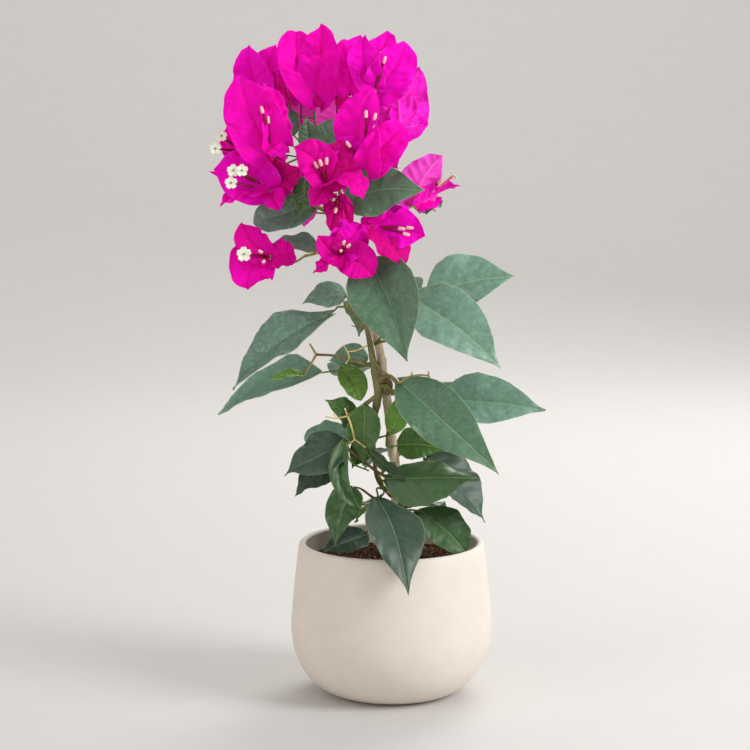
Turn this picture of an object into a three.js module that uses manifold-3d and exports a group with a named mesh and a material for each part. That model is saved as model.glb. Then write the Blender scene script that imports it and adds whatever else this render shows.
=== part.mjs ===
// A young bougainvillea in its pot, in millimetres, +Z up, the origin at the centre of the pot's underside.
// The viewer looks along +Y. Headings are degrees in plan, 0 along +X and -90 towards the viewer.
// The plant is a trunk, tapering boughs, and masses of twigs, leaves and bracts that grow from them.
import * as THREE from "three";
import { mergeVertices } from "three/addons/utils/BufferGeometryUtils.js";
import Module from "manifold-3d";

const wasm = await Module();
wasm.setup();

// Pot and soil
const potHeight = 95.5;
const bellyRadius = 62.5;
const bellyHeight = 42;
const rimRadius = 57.3;
const footRadius = 29;
const potWall = 4.3;
const potFloor = 7;
const lipRound = 1.8;
const bellyRoundness = 0.95; // exponent of the lower curve
const shoulderEase = 1.35; // exponent of the upper taper
const potFacets = 28;
const wallHeights = [60, 30, 15]; // where the inner wall changes slope
const soilTop = 85.5;
const soilCrown = 1.6; // how far the soil falls from the middle to the wall
const soilFlatRadius = 14;

// Plant
const clearance = 0.3; // gap between neighbouring pieces
const limbSides = 6;
const twigSides = 4;
const stalkSides = 3;
const limbStep = 8; // length of one stretch of a limb
const twigStep = 9;
const searchSteps = 24; // places tried along a limb or twig
const leafThickness = 1;
const bractThickness = 0.8;
const petioleRadius = { foot: 0.78, tip: 0.52 };
const pedicelRadius = 0.6;
const flowerTube = { length: 15, foot: 0.9, throat: 1.2, star: 4, notch: 0.62, starThickness: 1 };
const bractOffset = 1; // from the middle of a cluster to the foot of each bract
const knotRadius = 2.4; // where a cluster's bracts and stalk meet
const shortBlade = 36; // a blade shorter than this has one row fewer
const flatLeaf = 46; // a leaf shorter than this is flat across
const scrapVolume = 0.5; // a loose scrap smaller than this is dropped
const leafShape = { rise: 0.78, fall: 1.2, rows: 5 };
const bractShape = { rise: 0.9, fall: 0.95, rows: 5 };

const degrees = Math.PI / 180;
const point = ([x, y, z]) => new THREE.Vector3(x, y, z);

// Unit vector of a heading and pitch
function aimed([heading, pitch]) {
  const level = Math.cos(pitch * degrees);
  return new THREE.Vector3(
    level * Math.cos(heading * degrees),
    level * Math.sin(heading * degrees),
    Math.sin(pitch * degrees),
  );
}

// Tapering limbs and twigs

function curveThrough(points) {
  return new THREE.CatmullRomCurve3(points, false, "catmullrom", 0.5);
}

// A closed tube along a curve; radiusAt gives its radius from 0 at the foot to 1 at the tip
function tube(curve, radiusAt, sides, steps) {
  const geometry = new THREE.CylinderGeometry(1, 1, 1, sides, steps);
  const frames = curve.computeFrenetFrames(steps, false);
  const position = geometry.attributes.position;
  for (let i = 0; i < position.count; i++) {
    const step = Math.round((position.getY(i) + 0.5) * steps);
    const radius = radiusAt(step / steps);
    const moved = curve
      .getPointAt(step / steps)
      .addScaledVector(frames.binormals[step], position.getX(i) * radius)
      .addScaledVector(frames.normals[step], position.getZ(i) * radius);
    position.setXYZ(i, moved.x, moved.y, moved.z);
  }
  return geometry;
}

function twig(points, foot, tip, sides = twigSides) {
  const curve = curveThrough(points);
  const steps = points.length === 2 ? 1 : Math.max(3, Math.ceil(curve.getLength() / twigStep));
  return tube(curve, (t) => foot + (tip - foot) * t, sides, steps);
}

// Leaves and bracts

// A thin blade: its midrib bends through arch degrees, its halves, where it has two, rise by fold degrees,
// and its half width is a power curve that rises from the base and falls to the pointed tip
function blade({ at, along, up, size, arch = 0, fold = 0, shape, thickness }) {
  const [length, width] = size;
  const rows = length < shortBlade ? shape.rows - 1 : shape.rows;
  const geometry = new THREE.BoxGeometry(1, 1, 1, rows, 1, fold ? 2 : 1);
  const side = new THREE.Vector3().crossVectors(along, up);
  const bend = Math.max(Math.abs(arch), 0.01) * Math.sign(arch || 1) * degrees;
  const lift = Math.sin(fold * degrees);
  const spread = Math.cos(fold * degrees);
  const peak = shape.rise / (shape.rise + shape.fall);
  const outline = (u) => u ** shape.rise * (1 - u) ** shape.fall;
  const position = geometry.attributes.position;
  for (let i = 0; i < position.count; i++) {
    const u = position.getX(i) + 0.5;
    const across = position.getZ(i) * 2;
    const half = Math.max(thickness / 2, (width / 2) * (outline(u) / outline(peak)));
    const slope = bend * (0.5 - u);
    const forward = (length * (Math.sin(bend / 2) - Math.sin(slope))) / bend;
    const rise = (length * (Math.cos(slope) - Math.cos(bend / 2))) / bend;
    const offset = Math.abs(across) * half * lift + position.getY(i) * thickness;
    const moved = at
      .clone()
      .addScaledVector(along, forward - offset * Math.sin(slope))
      .addScaledVector(up, rise + offset * Math.cos(slope))
      .addScaledVector(side, across * half * spread);
    position.setXYZ(i, moved.x, moved.y, moved.z);
  }
  return geometry;
}

// The upper side of a blade that is aimed and then turned about its midrib
function upperSide(aim, turn) {
  const along = aimed(aim);
  return aimed([aim[0], aim[1] + 90]).applyAxisAngle(along, turn * degrees);
}

function leafBlade({ at, aim, size, turn = 0, arch = 25, fold = 12 }) {
  return blade({
    at: point(at), along: aimed(aim), up: upperSide(aim, turn), size, arch,
    fold: size[0] < flatLeaf ? 0 : fold, shape: leafShape, thickness: leafThickness,
  });
}

// Flowers

// A flower tube that ends in an open star of five lobes
function openFlower(at, along) {
  const { length, foot, throat, star, notch, starThickness } = flowerTube;
  const end = at.clone().addScaledVector(along, length);
  const disc = new THREE.CylinderGeometry(1, 0.3, starThickness, 10);
  const position = disc.attributes.position;
  for (let i = 0; i < position.count; i++) {
    const x = position.getX(i);
    const z = position.getZ(i);
    const lobe = Math.sin(Math.atan2(z, x) * 5) > 0 ? star : star * notch;
    position.setX(i, x * lobe);
    position.setZ(i, z * lobe);
  }
  disc.applyQuaternion(new THREE.Quaternion().setFromUnitVectors(new THREE.Vector3(0, 1, 0), along));
  disc.translate(end.x, end.y, end.z);
  return [twig([at, end], foot, throat, stalkSides), disc];
}

// Three papery bracts round three flower tubes; the inner side of each bract faces the cluster's axis
function cluster({ at, axis, bracts, stars = 0 }) {
  const hub = point(at);
  const middle = aimed(axis);
  const knot = new THREE.OctahedronGeometry(knotRadius, 0).translate(hub.x, hub.y, hub.z);
  const pieces = [knot];
  bracts.forEach(([heading, pitch, length, width, turn = 0, arch = 20], i) => {
    const along = aimed([heading, pitch]);
    const inner = middle.clone().addScaledVector(along, -middle.dot(along)).normalize();
    inner.applyAxisAngle(along, turn * degrees);
    pieces.push(blade({
      at: hub.clone().addScaledVector(along, bractOffset), along, up: inner, size: [length, width], arch,
      shape: bractShape, thickness: bractThickness,
    }));
    if (i < stars) {
      const lean = middle.clone().multiplyScalar(1.6).add(along).normalize();
      pieces.push(...openFlower(hub, lean));
    }
  });
  return pieces;
}

// The same seeded draw wherever a cluster is not seen from the front
function seeded(seed) {
  let state = seed;
  return () => {
    state = (state * 1103515245 + 12345) % 2147483648;
    return state / 2147483648;
  };
}

// A cluster whose three bracts are dealt round its axis by the seeded rule
function dealtCluster(at, axis, seed, reach = 36) {
  const draw = seeded(seed);
  const middle = aimed(axis);
  const start = draw() * 120;
  const across = upperSide(axis, 0);
  const bracts = [0, 120, 240].map((step) => {
    const open = 38 + 26 * draw();
    const out = across.clone().applyAxisAngle(middle, (start + step) * degrees);
    const along = middle.clone().multiplyScalar(Math.cos(open * degrees))
      .addScaledVector(out, Math.sin(open * degrees));
    const heading = Math.atan2(along.y, along.x) / degrees;
    const pitch = Math.asin(along.z) / degrees;
    const length = reach * (0.88 + 0.24 * draw());
    return [heading, pitch, length, length * 0.82];
  });
  return { at, axis, bracts };
}

// Joining with manifold-3d

function solidFrom(geometry) {
  geometry.deleteAttribute("normal");
  geometry.deleteAttribute("uv");
  const merged = mergeVertices(geometry, 1e-4);
  return new wasm.Manifold(new wasm.Mesh({
    numProp: 3,
    vertProperties: new Float32Array(merged.attributes.position.array),
    triVerts: new Uint32Array(merged.index.array),
  }));
}

function fused(pieces) {
  const bodies = wasm.Manifold.union(pieces.map(solidFrom)).decompose()
    .filter((body) => body.volume() > scrapVolume);
  if (bodies.length !== 1) throw new Error("the pieces of a node do not all touch");
  const mesh = bodies[0].getMesh();
  return new THREE.BufferGeometry()
    .setAttribute("position", new THREE.BufferAttribute(mesh.vertProperties, 3))
    .setIndex(new THREE.BufferAttribute(mesh.triVerts, 1));
}

// Materials
const finish = (color, roughness) => new THREE.MeshStandardMaterial({ color, roughness, metalness: 0 });
const ceramic = finish("#e6dccf", 0.6);
const earth = finish("#4a3024", 0.95);
const bark = finish("#b89a82", 0.8);
const greenWood = finish("#6f6a38", 0.7);
const foliage = finish("#4d7a5c", 0.55);
const blossom = finish("#e800b4", 0.6);

const plant = new THREE.Group();

function addPiece(name, geometry, material) {
  const mesh = new THREE.Mesh(geometry, material);
  mesh.name = name;
  plant.add(mesh);
}

// Pot: a round belly on a flat foot, drawn in to a rounded lip
function outerRadius(z) {
  if (z < bellyHeight) {
    const turn = Math.acos(1 - z / bellyHeight);
    return footRadius + (bellyRadius - footRadius) * Math.sin(turn) ** bellyRoundness;
  }
  const t = (z - bellyHeight) / (potHeight - bellyHeight);
  return bellyRadius + (rimRadius - bellyRadius) * t ** shoulderEase;
}

function potProfile() {
  const profile = [new THREE.Vector2(0, 0), new THREE.Vector2(footRadius, 0)];
  const lowerSteps = 7;
  for (let i = 1; i <= lowerSteps; i++) {
    const z = bellyHeight * (1 - Math.cos((i / lowerSteps) * 90 * degrees));
    profile.push(new THREE.Vector2(outerRadius(z), z));
  }
  const lipBase = potHeight - lipRound;
  for (const z of [56, 70, 83, lipBase]) profile.push(new THREE.Vector2(outerRadius(z), z));
  for (const turn of [40, 75, 105, 140]) {
    const middle = rimRadius - potWall / 2;
    profile.push(new THREE.Vector2(
      middle + (potWall / 2) * Math.cos(turn * degrees),
      lipBase + lipRound * Math.sin(turn * degrees),
    ));
  }
  for (const z of [lipBase, ...wallHeights, potFloor]) {
    profile.push(new THREE.Vector2(outerRadius(z) - potWall, z));
  }
  profile.push(new THREE.Vector2(0, potFloor));
  return profile;
}

function lathe(profile) {
  const geometry = new THREE.LatheGeometry(profile, potFacets);
  geometry.rotateX(Math.PI / 2); // the profile's height runs up +Z
  return geometry;
}

addPiece("pot", fused([lathe(potProfile())]), ceramic);

// Soil: fills the pot to a little below the lip, level round the trunk
function soilProfile() {
  const wallGap = potWall + clearance * 1.2;
  const profile = [new THREE.Vector2(0, potFloor + clearance)];
  for (const z of [potFloor + clearance, ...wallHeights.toReversed(), soilTop - soilCrown]) {
    profile.push(new THREE.Vector2(outerRadius(z) - wallGap, z));
  }
  profile.push(new THREE.Vector2(soilFlatRadius * 2, soilTop - soilCrown / 4));
  profile.push(new THREE.Vector2(soilFlatRadius, soilTop), new THREE.Vector2(0, soilTop));
  return profile;
}

addPiece("soil", fused([lathe(soilProfile())]), earth);

// Trunk: leans a little to the left as it rises, with a root flare on a flat cut at the soil
const trunkCourse = [
  [1.8, 0, soilTop + clearance], [2.6, 0, 104], [2.8, 0, 122], [2.2, 0, 143], [-0.3, 0, 162],
  [-3.4, 0, 181], [-6.5, 0, 200], [-10.2, 0, 218], [-13.9, 0, 233],
];
const trunkRadius = { foot: 3.3, tip: 2.5, flare: 2.4, flareReach: 0.1 };

const limbs = {};

function addLimb(name, curve, radiusAt, material, sides = limbSides) {
  const steps = Math.ceil(curve.getLength() / limbStep);
  limbs[name] = { curve, radiusAt };
  addPiece(name, fused([tube(curve, radiusAt, sides, steps)]), material);
}

const flare = (t) => trunkRadius.flare * Math.max(0, 1 - t / trunkRadius.flareReach) ** 2;
addLimb(
  "trunk",
  curveThrough(trunkCourse.map(point)),
  (t) => trunkRadius.foot + (trunkRadius.tip - trunkRadius.foot) * t + flare(t),
  bark,
  10,
);

// The place on a limb at a height, and the point beside it where a stem of some radius starts clear of it
function placeOnLimb(limb, height) {
  let low = 0;
  let high = 1;
  for (let i = 0; i < searchSteps; i++) {
    const t = (low + high) / 2;
    if (limb.curve.getPointAt(t).z < height) low = t;
    else high = t;
  }
  return low;
}

function startBeside(name, height, heading, next, radius) {
  const limb = limbs[name];
  const t = placeOnLimb(limb, height);
  const centre = limb.curve.getPointAt(t);
  const out = aimed([heading, 0]);
  const towards = next.clone().sub(centre).normalize();
  const tilt = Math.sqrt(Math.max(0, 1 - towards.dot(out) ** 2));
  return centre.addScaledVector(out, limb.radiusAt(t) + clearance + radius * tilt);
}

// Two points just past a limb's tip and in line with it
function startPastTip(name) {
  const { curve } = limbs[name];
  const along = curve.getTangentAt(1);
  return [clearance, clearance + 2].map((gap) => curve.getPointAt(1).addScaledVector(along, gap));
}

// Where a stem starts: past the tip of the limb that it goes on from, or beside it at a height
function stemStart({ from, height, heading }, path, radius) {
  return height === undefined ? startPastTip(from) : [startBeside(from, height, heading, path[0], radius)];
}

// Boughs: each starts beside the limb named in it, or goes on past that limb's tip
const boughs = [
  {
    name: "leader", from: "trunk", radii: [2.1, 1.5],
    path: [[-19.4, 2, 255], [-23.7, 3, 273], [-27.5, 1, 292], [-29.5, 0, 303]],
  },
  {
    name: "side_stem", from: "trunk", height: 187, heading: -125, radii: [1.4, 1],
    path: [[-9.6, -4.9, 197], [-12.3, -5.4, 209], [-15.8, -5.6, 224], [-19, -6, 235], [-25, -8, 242]],
  },
  {
    name: "low_stem", from: "trunk", height: 124, heading: 200, radii: [1.5, 1],
    path: [[-8, -4, 134], [-10.5, -6, 146], [-10.8, -6, 157]],
  },
  {
    name: "bough_top", from: "leader", radii: [1.3, 0.9],
    path: [[-32.5, 1, 315], [-37, 2, 328], [-43, 4, 341], [-46, 3, 351]],
  },
  {
    name: "bough_left", from: "leader", height: 291, heading: 190, radii: [1.2, 0.8],
    path: [[-43, -4, 303], [-56, -8, 311]],
  },
  {
    name: "bough_right", from: "leader", height: 299, heading: 30, radii: [1.2, 0.8],
    path: [[-22.5, 7, 311], [-18, 6, 323], [-15, 1, 334]],
  },
  {
    name: "bough_back", from: "leader", height: 284, heading: 80, radii: [1.3, 0.9],
    path: [[-26, 13, 300], [-28, 25, 316]],
  },
  {
    name: "bough_low_right", from: "leader", height: 284, heading: -35, radii: [1.1, 0.8],
    path: [[-18, -9, 290], [-14, -12, 291.5]],
  },
  {
    name: "bough_low_left", from: "leader", height: 275, heading: 195, radii: [1.1, 0.8],
    path: [[-38, -3, 277], [-52, -6, 274]],
  },
];

for (const bough of boughs) {
  const [foot, tip] = bough.radii;
  const path = bough.path.map(point);
  const course = curveThrough([...stemStart(bough, path, foot), ...path]);
  addLimb(bough.name, course, (t) => foot + (tip - foot) * t, greenWood);
}

// Masses of leaves and blossom. A mass has one stem, further twigs, leaves and clusters; each leaf
// or cluster gets a petiole or pedicel from the nearest place on its mass's own twigs.
const leafMasses = [
  {
    name: "leaf_upper_front", from: "leader", height: 258, heading: -60, radius: 1,
    path: [[-18, -9, 265]],
    leaves: [
      { at: [-19, -13, 271], aim: [-49, -51], size: [70, 39], turn: 8, arch: 22, fold: 10 },
    ],
  },
  {
    name: "leaves_upper_right", from: "trunk", height: 217, heading: -10, radius: 1.2,
    path: [[-2, -1, 229], [6, 2, 243], [12, 9, 254]],
    leaves: [
      { at: [11, -8, 248], aim: [-22, -34], size: [72, 37], turn: 46, arch: 24, fold: 12 },
      { at: [17, 14, 259], aim: [10, -1], size: [63, 30], turn: 72, arch: 6, fold: 12 },
    ],
  },
  {
    name: "leaves_upper_left", from: "side_stem", radius: 0.9,
    path: [[-29, -8.5, 243], [-33, -9, 243]],
    leaves: [
      { at: [-39, -12, 238], aim: [-157, -34], size: [75, 33], turn: -45, arch: 22, fold: 12 },
      { at: [-31, 12, 250], aim: [127, -16], size: [44, 28], turn: -20 },
    ],
  },
  {
    name: "leaves_upper_back", from: "trunk", height: 228, heading: 80, radius: 1.2,
    path: [[-14, 9, 240], [-14, 14, 252]],
    leaves: [
      { at: [-10, 20, 254], aim: [62, -12], size: [66, 36] },
      { at: [-17, 18, 240], aim: [118, -24], size: [64, 36] },
    ],
  },
  {
    name: "leaves_middle_left", from: "trunk", height: 207, heading: 190, radius: 1.1,
    path: [[-18, -2.5, 208], [-31, -7, 213], [-46, -7, 213.5]],
    twigs: [
      [[-46, -7, 213.5], [-50, -8, 220]],
      [[-46, -7, 213.5], [-50, -9, 207], [-53, -10, 202]],
      [[-20, -3.5, 209.5], [-22, -8, 215], [-27, -8, 214.5]],
      [[-27, -8, 214.5], [-30.5, -8, 218]],
      [[-27, -8, 214.5], [-26.5, -8, 209], [-29, -8, 206.5]],
    ],
    leaves: [
      { at: [-45, 0, 201], aim: [176, -23], size: [69, 27], turn: -60, arch: 8, fold: 10 },
      { at: [-54, -10, 201.5], aim: [-163, -8], size: [21, 8], turn: -20, fold: 20 },
    ],
  },
  {
    name: "leaves_middle_back_left", from: "trunk", height: 204, heading: 130, radius: 1.1,
    path: [[-14, 7, 205], [-22, 10, 206]],
    leaves: [
      { at: [-29, 10, 203], aim: [-39, -45], size: [25, 20], turn: 20 },
      { at: [-23, 14, 208], aim: [129, -9], size: [30, 18], turn: -20 },
      { at: [-18, 18, 203], aim: [100, -22], size: [60, 34] },
    ],
  },
  {
    name: "leaves_middle_right", from: "trunk", height: 213, heading: -80, radius: 1,
    path: [[-5, -8, 210], [0, -11, 204], [4, -12, 198]],
    twigs: [[[4, -12, 198], [12, -11, 200.5], [22, -10, 200.5], [23, -10, 195.5]]],
    leaves: [
      { at: [5, -12, 197], aim: [-26, -38], size: [84, 36], turn: 54, arch: 20, fold: 10 },
    ],
  },
  {
    name: "leaves_middle_back_right", from: "trunk", height: 188, heading: 20, radius: 1.2,
    path: [[6, 3, 188], [17, 8, 190], [26, 10, 192]],
    leaves: [
      { at: [30, 10, 193], aim: [-7, -12], size: [69, 30], turn: 66, arch: 6, fold: 12 },
      { at: [12, 14, 192], aim: [52, -24], size: [62, 34] },
    ],
  },
  {
    name: "leaves_fork_left", from: "trunk", height: 190, heading: 200, radius: 1.2,
    path: [[-14, -5, 184.5], [-27, -7, 175.5]],
    twigs: [
      [[-27, -7, 175.5], [-34, -7, 174.5], [-40, -8, 175.5]],
      [[-27, -7, 175.5], [-28.6, -7, 180]],
      [[-27, -7, 175.5], [-25, -8, 171], [-22.7, -9, 162]],
      [[-22.7, -9, 162], [-26.5, -6, 158.5]],
      [[-22.7, -9, 162], [-16.6, -9, 157.5]],
    ],
    leaves: [
      { at: [-14.5, -9, 182], aim: [-103, -83], size: [33, 18], turn: 0, arch: 10 },
      { at: [-24, 4, 170], aim: [-166, 40], size: [23, 16], turn: -30 },
    ],
  },
  {
    name: "leaves_low_left", from: "trunk", height: 136, heading: 235, radius: 1.1,
    path: [[-6, -9, 139], [-15, -12, 146], [-24, -12, 153], [-28.5, -11, 158]],
    leaves: [
      { at: [-25, 14, 159], aim: [159, 2], size: [28, 14], turn: -40 },
      { at: [-29, -7, 158.5], aim: [-168, -27], size: [42, 31], turn: -40 },
      { at: [-30, 5, 153], aim: [-165, -43], size: [41, 24], turn: -30 },
      { at: [-28.5, -14, 159.5], aim: [-36, -68], size: [45, 26], turn: -30, arch: 30, fold: 40 },
      { at: [-20, -7, 148], aim: [150, -41], size: [17, 14], turn: 0 },
    ],
  },
  {
    name: "leaf_low_bright", from: "low_stem", radius: 0.8,
    path: [[-8.5, -7.5, 161.5], [-2, -8, 163.5]],
    leaves: [
      { at: [0, -8.5, 165], aim: [32, 67], size: [29, 15], turn: 60 },
    ],
  },
  {
    name: "leaves_low_front", from: "trunk", height: 145, heading: -95, radius: 1,
    path: [[-3, -12, 143], [-8, -16, 140]],
    leaves: [
      { at: [-12.5, -17, 139.5], aim: [-18, 1], size: [67, 32], turn: 34, arch: 12, fold: 26 },
      { at: [-10, -18, 149], aim: [-8, -22], size: [24, 8], turn: 30 },
    ],
  },
  {
    name: "leaves_low_back", from: "trunk", height: 148, heading: 60, radius: 1.1,
    path: [[8, 9, 151], [10, 14, 154]],
    leaves: [
      { at: [6.5, 3, 156], aim: [-9, -5], size: [27, 20], turn: 40 },
      { at: [11, 17, 154], aim: [60, -18], size: [50, 30] },
      { at: [2, 16, 150], aim: [112, -22], size: [54, 32] },
    ],
  },
  {
    name: "leaves_foot_right", from: "trunk", height: 134, heading: 0, radius: 1,
    path: [[14, 2, 138], [28, 5, 142]],
    leaves: [
      { at: [34, 6, 141.5], aim: [-13, -54], size: [45, 27], turn: 35 },
    ],
  },
  {
    name: "leaves_foot_far_right", from: "trunk", height: 119, heading: -25, radius: 1,
    path: [[12, -2, 117]],
    leaves: [
      { at: [18.6, 0, 113.7], aim: [-22, -28], size: [37, 25], turn: 40 },
    ],
  },
  {
    name: "leaves_foot_left", from: "trunk", height: 117, heading: 190, radius: 1,
    path: [[-9, -4, 122], [-18, -6, 129]],
    twigs: [[[-7, -3.5, 120.5], [-11, -4.5, 110], [-15.5, -4.5, 101]]],
    leaves: [
      { at: [-24, -7, 130.5], aim: [-114, -50], size: [41, 21], turn: -10 },
      { at: [-10, 3, 119], aim: [157, -45], size: [20, 11], turn: -20 },
      { at: [-17, -5, 99.5], aim: [-146, -4], size: [31, 15], turn: -30, arch: 10 },
    ],
  },
  {
    name: "leaves_foot_front", from: "trunk", height: 127, heading: -110, radius: 1,
    path: [[-2, -9, 129]],
    leaves: [
      { at: [-5.8, -16, 125.5], aim: [-75, -39], size: [80, 37], turn: 0, arch: 72, fold: 6 },
    ],
  },
  {
    name: "leaves_foot_back", from: "trunk", height: 110, heading: 90, radius: 1,
    path: [[2, 10, 112], [2, 14, 113]],
    leaves: [
      { at: [-4, 18, 113], aim: [125, -12], size: [46, 26] },
      { at: [8, 18, 113], aim: [50, -14], size: [48, 28] },
      { at: [5, 9, 120], aim: [20, -4], size: [14, 8] },
    ],
  },
  {
    name: "crown_leaf_right", from: "leader", height: 302, heading: -100, radius: 0.8,
    path: [[-28, -9, 306]],
    leaves: [
      { at: [-28, -13, 309.5], aim: [-17, 7], size: [50, 30], turn: 38, arch: 14, fold: 10 },
    ],
  },
  {
    name: "crown_leaves_left", from: "leader", height: 296, heading: 160, radius: 0.9,
    path: [[-38, 4, 303]],
    leaves: [
      { at: [-43, 6, 306], aim: [172, -20], size: [46, 22], turn: -30 },
    ],
  },
  {
    name: "crown_leaves_top", from: "bough_top", height: 330, heading: -120, radius: 0.7,
    path: [[-41, -4, 334]],
    leaves: [
      { at: [-50, -7, 337], aim: [107, 78], size: [22, 12], arch: 0 },
      { at: [-45, -5, 342], aim: [29, 56], size: [24, 14], arch: 0 },
      { at: [-49, -16, 322], aim: [-135, -69], size: [25, 13] },
    ],
  },
  {
    name: "crown_leaves_back", from: "bough_back", height: 302, heading: 10, radius: 0.8,
    path: [[-20, 18, 306]],
    leaves: [
      { at: [-15, 21, 306], aim: [18, -10], size: [46, 26], turn: 20 },
    ],
  },
];

const blossomMasses = [
  {
    name: "crown_low_left", from: "bough_low_left", radius: 0.8,
    path: [[-60, -8, 270], [-69, -9, 271]],
    leaves: [{ at: [-46, 5, 277], aim: [163, 7], size: [28, 17], turn: -35 }],
    clusters: [
      {
        at: [-73, -10, 273], axis: [-115, 10], stars: 1,
        bracts: [[-165, 50, 34, 26], [20, 5, 20, 22], [-150, -46, 29, 32]],
      },
    ],
  },
  {
    name: "crown_low_right", from: "bough_low_right", radius: 0.8,
    path: [[-10, -14, 292.5]],
    twigs: [[[-10, -14, 292.5], [0, -8, 299], [13, 0, 304]]],
    leaves: [
      { at: [21, 10, 299], aim: [59, 14], size: [22, 12] },
    ],
    clusters: [
      {
        at: [-9, -15, 292], axis: [-40, -8],
        bracts: [[-22, 28, 32, 26], [-40, -54, 30, 28], [-2, -6, 33, 26]],
      },
      {
        at: [14, 0, 305], axis: [40, 30],
        bracts: [[-20, 60, 38, 32], [-28, 23, 34, 24, -50], [70, 8, 28, 26]],
      },
    ],
  },
  {
    name: "crown_front", from: "leader", height: 293, heading: -100, radius: 0.9,
    path: [[-32, -10, 300], [-37, -20, 310], [-41, -28, 316]],
    twigs: [[[-32, -10, 300], [-33, -16, 290], [-33, -23, 276]]],
    leaves: [],
    clusters: [
      {
        at: [-41, -30, 317], axis: [-95, 20],
        bracts: [[-138, 50, 38, 36], [-115, -25, 26, 20], [-29, 5, 30, 28, 0, 50]],
      },
      {
        at: [-32, -19, 301], axis: [-80, -30],
        bracts: [[-98, -34, 24, 18], [-60, -37, 20, 16], [-130, -30, 20, 14]],
      },
      {
        at: [-33, -24, 274], axis: [-90, 20],
        bracts: [[-145, 42, 25, 24], [-24, -4, 24, 32], [-140, -21, 24, 14]],
      },
    ],
  },
  {
    name: "crown_left", from: "bough_left", radius: 0.8,
    path: [[-60, -9, 312], [-69, -12, 314]],
    twigs: [
      [[-62, -9, 312.5], [-66, -16, 326], [-70, -19, 338]],
      [[-64, -9, 313], [-78, -2, 325], [-88, 3, 336]],
    ],
    leaves: [],
    clusters: [
      {
        at: [-70, -12, 314], axis: [-155, 30], stars: 1,
        bracts: [[-167, 28, 46, 40], [-151, -13, 38, 22], [-83, -31, 22, 18]],
      },
      {
        at: [-70, -20, 339], axis: [-110, 45],
        bracts: [[-174, 66, 50, 38], [-99, 63, 46, 30, -35], [20, 35, 30, 26]],
      },
      {
        at: [-89, 4, 337], axis: [180, 30], stars: 1,
        bracts: [[165, 38, 26, 22], [-150, -20, 18, 16], [105, 8, 24, 22]],
      },
      {
        at: [-64, -8, 317], axis: [-60, 60],
        bracts: [[-65, 52, 24, 20], [121, 56, 24, 22], [150, 0, 20, 16]],
      },
    ],
  },
  {
    name: "crown_top", from: "bough_top", radius: 0.8,
    path: [[-47, 3, 358], [-47, 2, 372]],
    twigs: [[[-47, 3, 357], [-66, 12, 360], [-79, 17, 365]]],
    leaves: [],
    clusters: [
      {
        at: [-80, 18, 366], axis: [-80, 60],
        bracts: [[150, 74, 36, 30], [-14, 76, 36, 22, -40], [100, 46, 28, 26]],
      },
      {
        at: [-47, 2, 373], axis: [-90, 55],
        bracts: [[161, 72, 40, 34], [25, 83, 42, 34], [-69, 11, 28, 26]],
      },
    ],
  },
  {
    name: "crown_right", from: "bough_right", radius: 0.8,
    path: [[-13.5, -4, 340], [-12, -7, 345]],
    twigs: [
      [[-14, -4, 339], [-15, -14, 334], [-17, -25, 327]],
      [[-12, -7, 345], [-3, -6, 350], [5, -5, 352]],
      [[-12, -7, 345], [-12, -10, 360], [-11, -12, 373]],
      [[-12, -9, 353], [-19, -2, 362], [-25, 5, 369]],
    ],
    leaves: [],
    clusters: [
      {
        at: [-17, -26, 326], axis: [-60, 55],
        bracts: [[40, 83, 50, 34], [-127, 42, 36, 34], [-37, 45, 44, 36]],
      },
      {
        at: [6, -4, 353], axis: [0, 60],
        bracts: [[-94, 51, 34, 32], [25, 77, 38, 30], [95, 18, 28, 28]],
      },
      {
        at: [-11, -12, 374], axis: [-70, 60],
        bracts: [[-116, 68, 37, 24], [70, 59, 42, 30], [-13, 60, 36, 30]],
      },
      {
        at: [-25, 6, 370], axis: [-90, 50],
        bracts: [[-31, 78, 38, 24], [-98, -4, 20, 18], [80, 30, 26, 24]],
      },
    ],
  },
  {
    name: "crown_back", from: "bough_back", radius: 0.9,
    path: [[-30, 31, 328], [-36, 33, 342], [-44, 31, 352]],
    twigs: [
      [[-30, 31, 328], [-14, 34, 332], [-3, 35, 338]],
      [[-31, 32, 332], [-52, 38, 331], [-67, 39, 333]],
      [[-36, 33, 342], [-22, 40, 350], [-10, 42, 355]],
      [[-29, 28, 321], [-40, 34, 308], [-50, 36, 302]],
      [[-29, 28, 321], [-24, 38, 316]],
      [[-56, 38, 331], [-74, 34, 319], [-86, 28, 312]],
      [[-44, 31, 352], [-54, 40, 358], [-60, 44, 360]],
    ],
    leaves: [],
    clusters: [
      dealtCluster([-45, 30, 353], [80, 60], 3, 32),
      dealtCluster([-2, 35, 338], [45, 35], 8, 30),
      dealtCluster([-68, 39, 333], [140, 15], 13, 30),
      dealtCluster([-9, 42, 355], [60, 40], 21, 30),
      dealtCluster([-50, 37, 301], [110, -20], 34, 34),
      dealtCluster([-24, 40, 315], [70, -10], 55, 34),
      dealtCluster([-87, 28, 311], [170, -10], 89, 26),
      dealtCluster([-61, 45, 361], [115, 45], 144, 30),
    ],
  },
];

// The nearest of many places along the twigs of a mass, and never at a twig's very foot
function nearestPlace(courses, target) {
  let best;
  let least = Infinity;
  for (const curve of courses) {
    for (let i = 3; i <= searchSteps; i++) {
      const place = curve.getPointAt(i / searchSteps);
      const distance = place.distanceTo(target);
      if (distance < least) [best, least] = [place, distance];
    }
  }
  return best;
}

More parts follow.
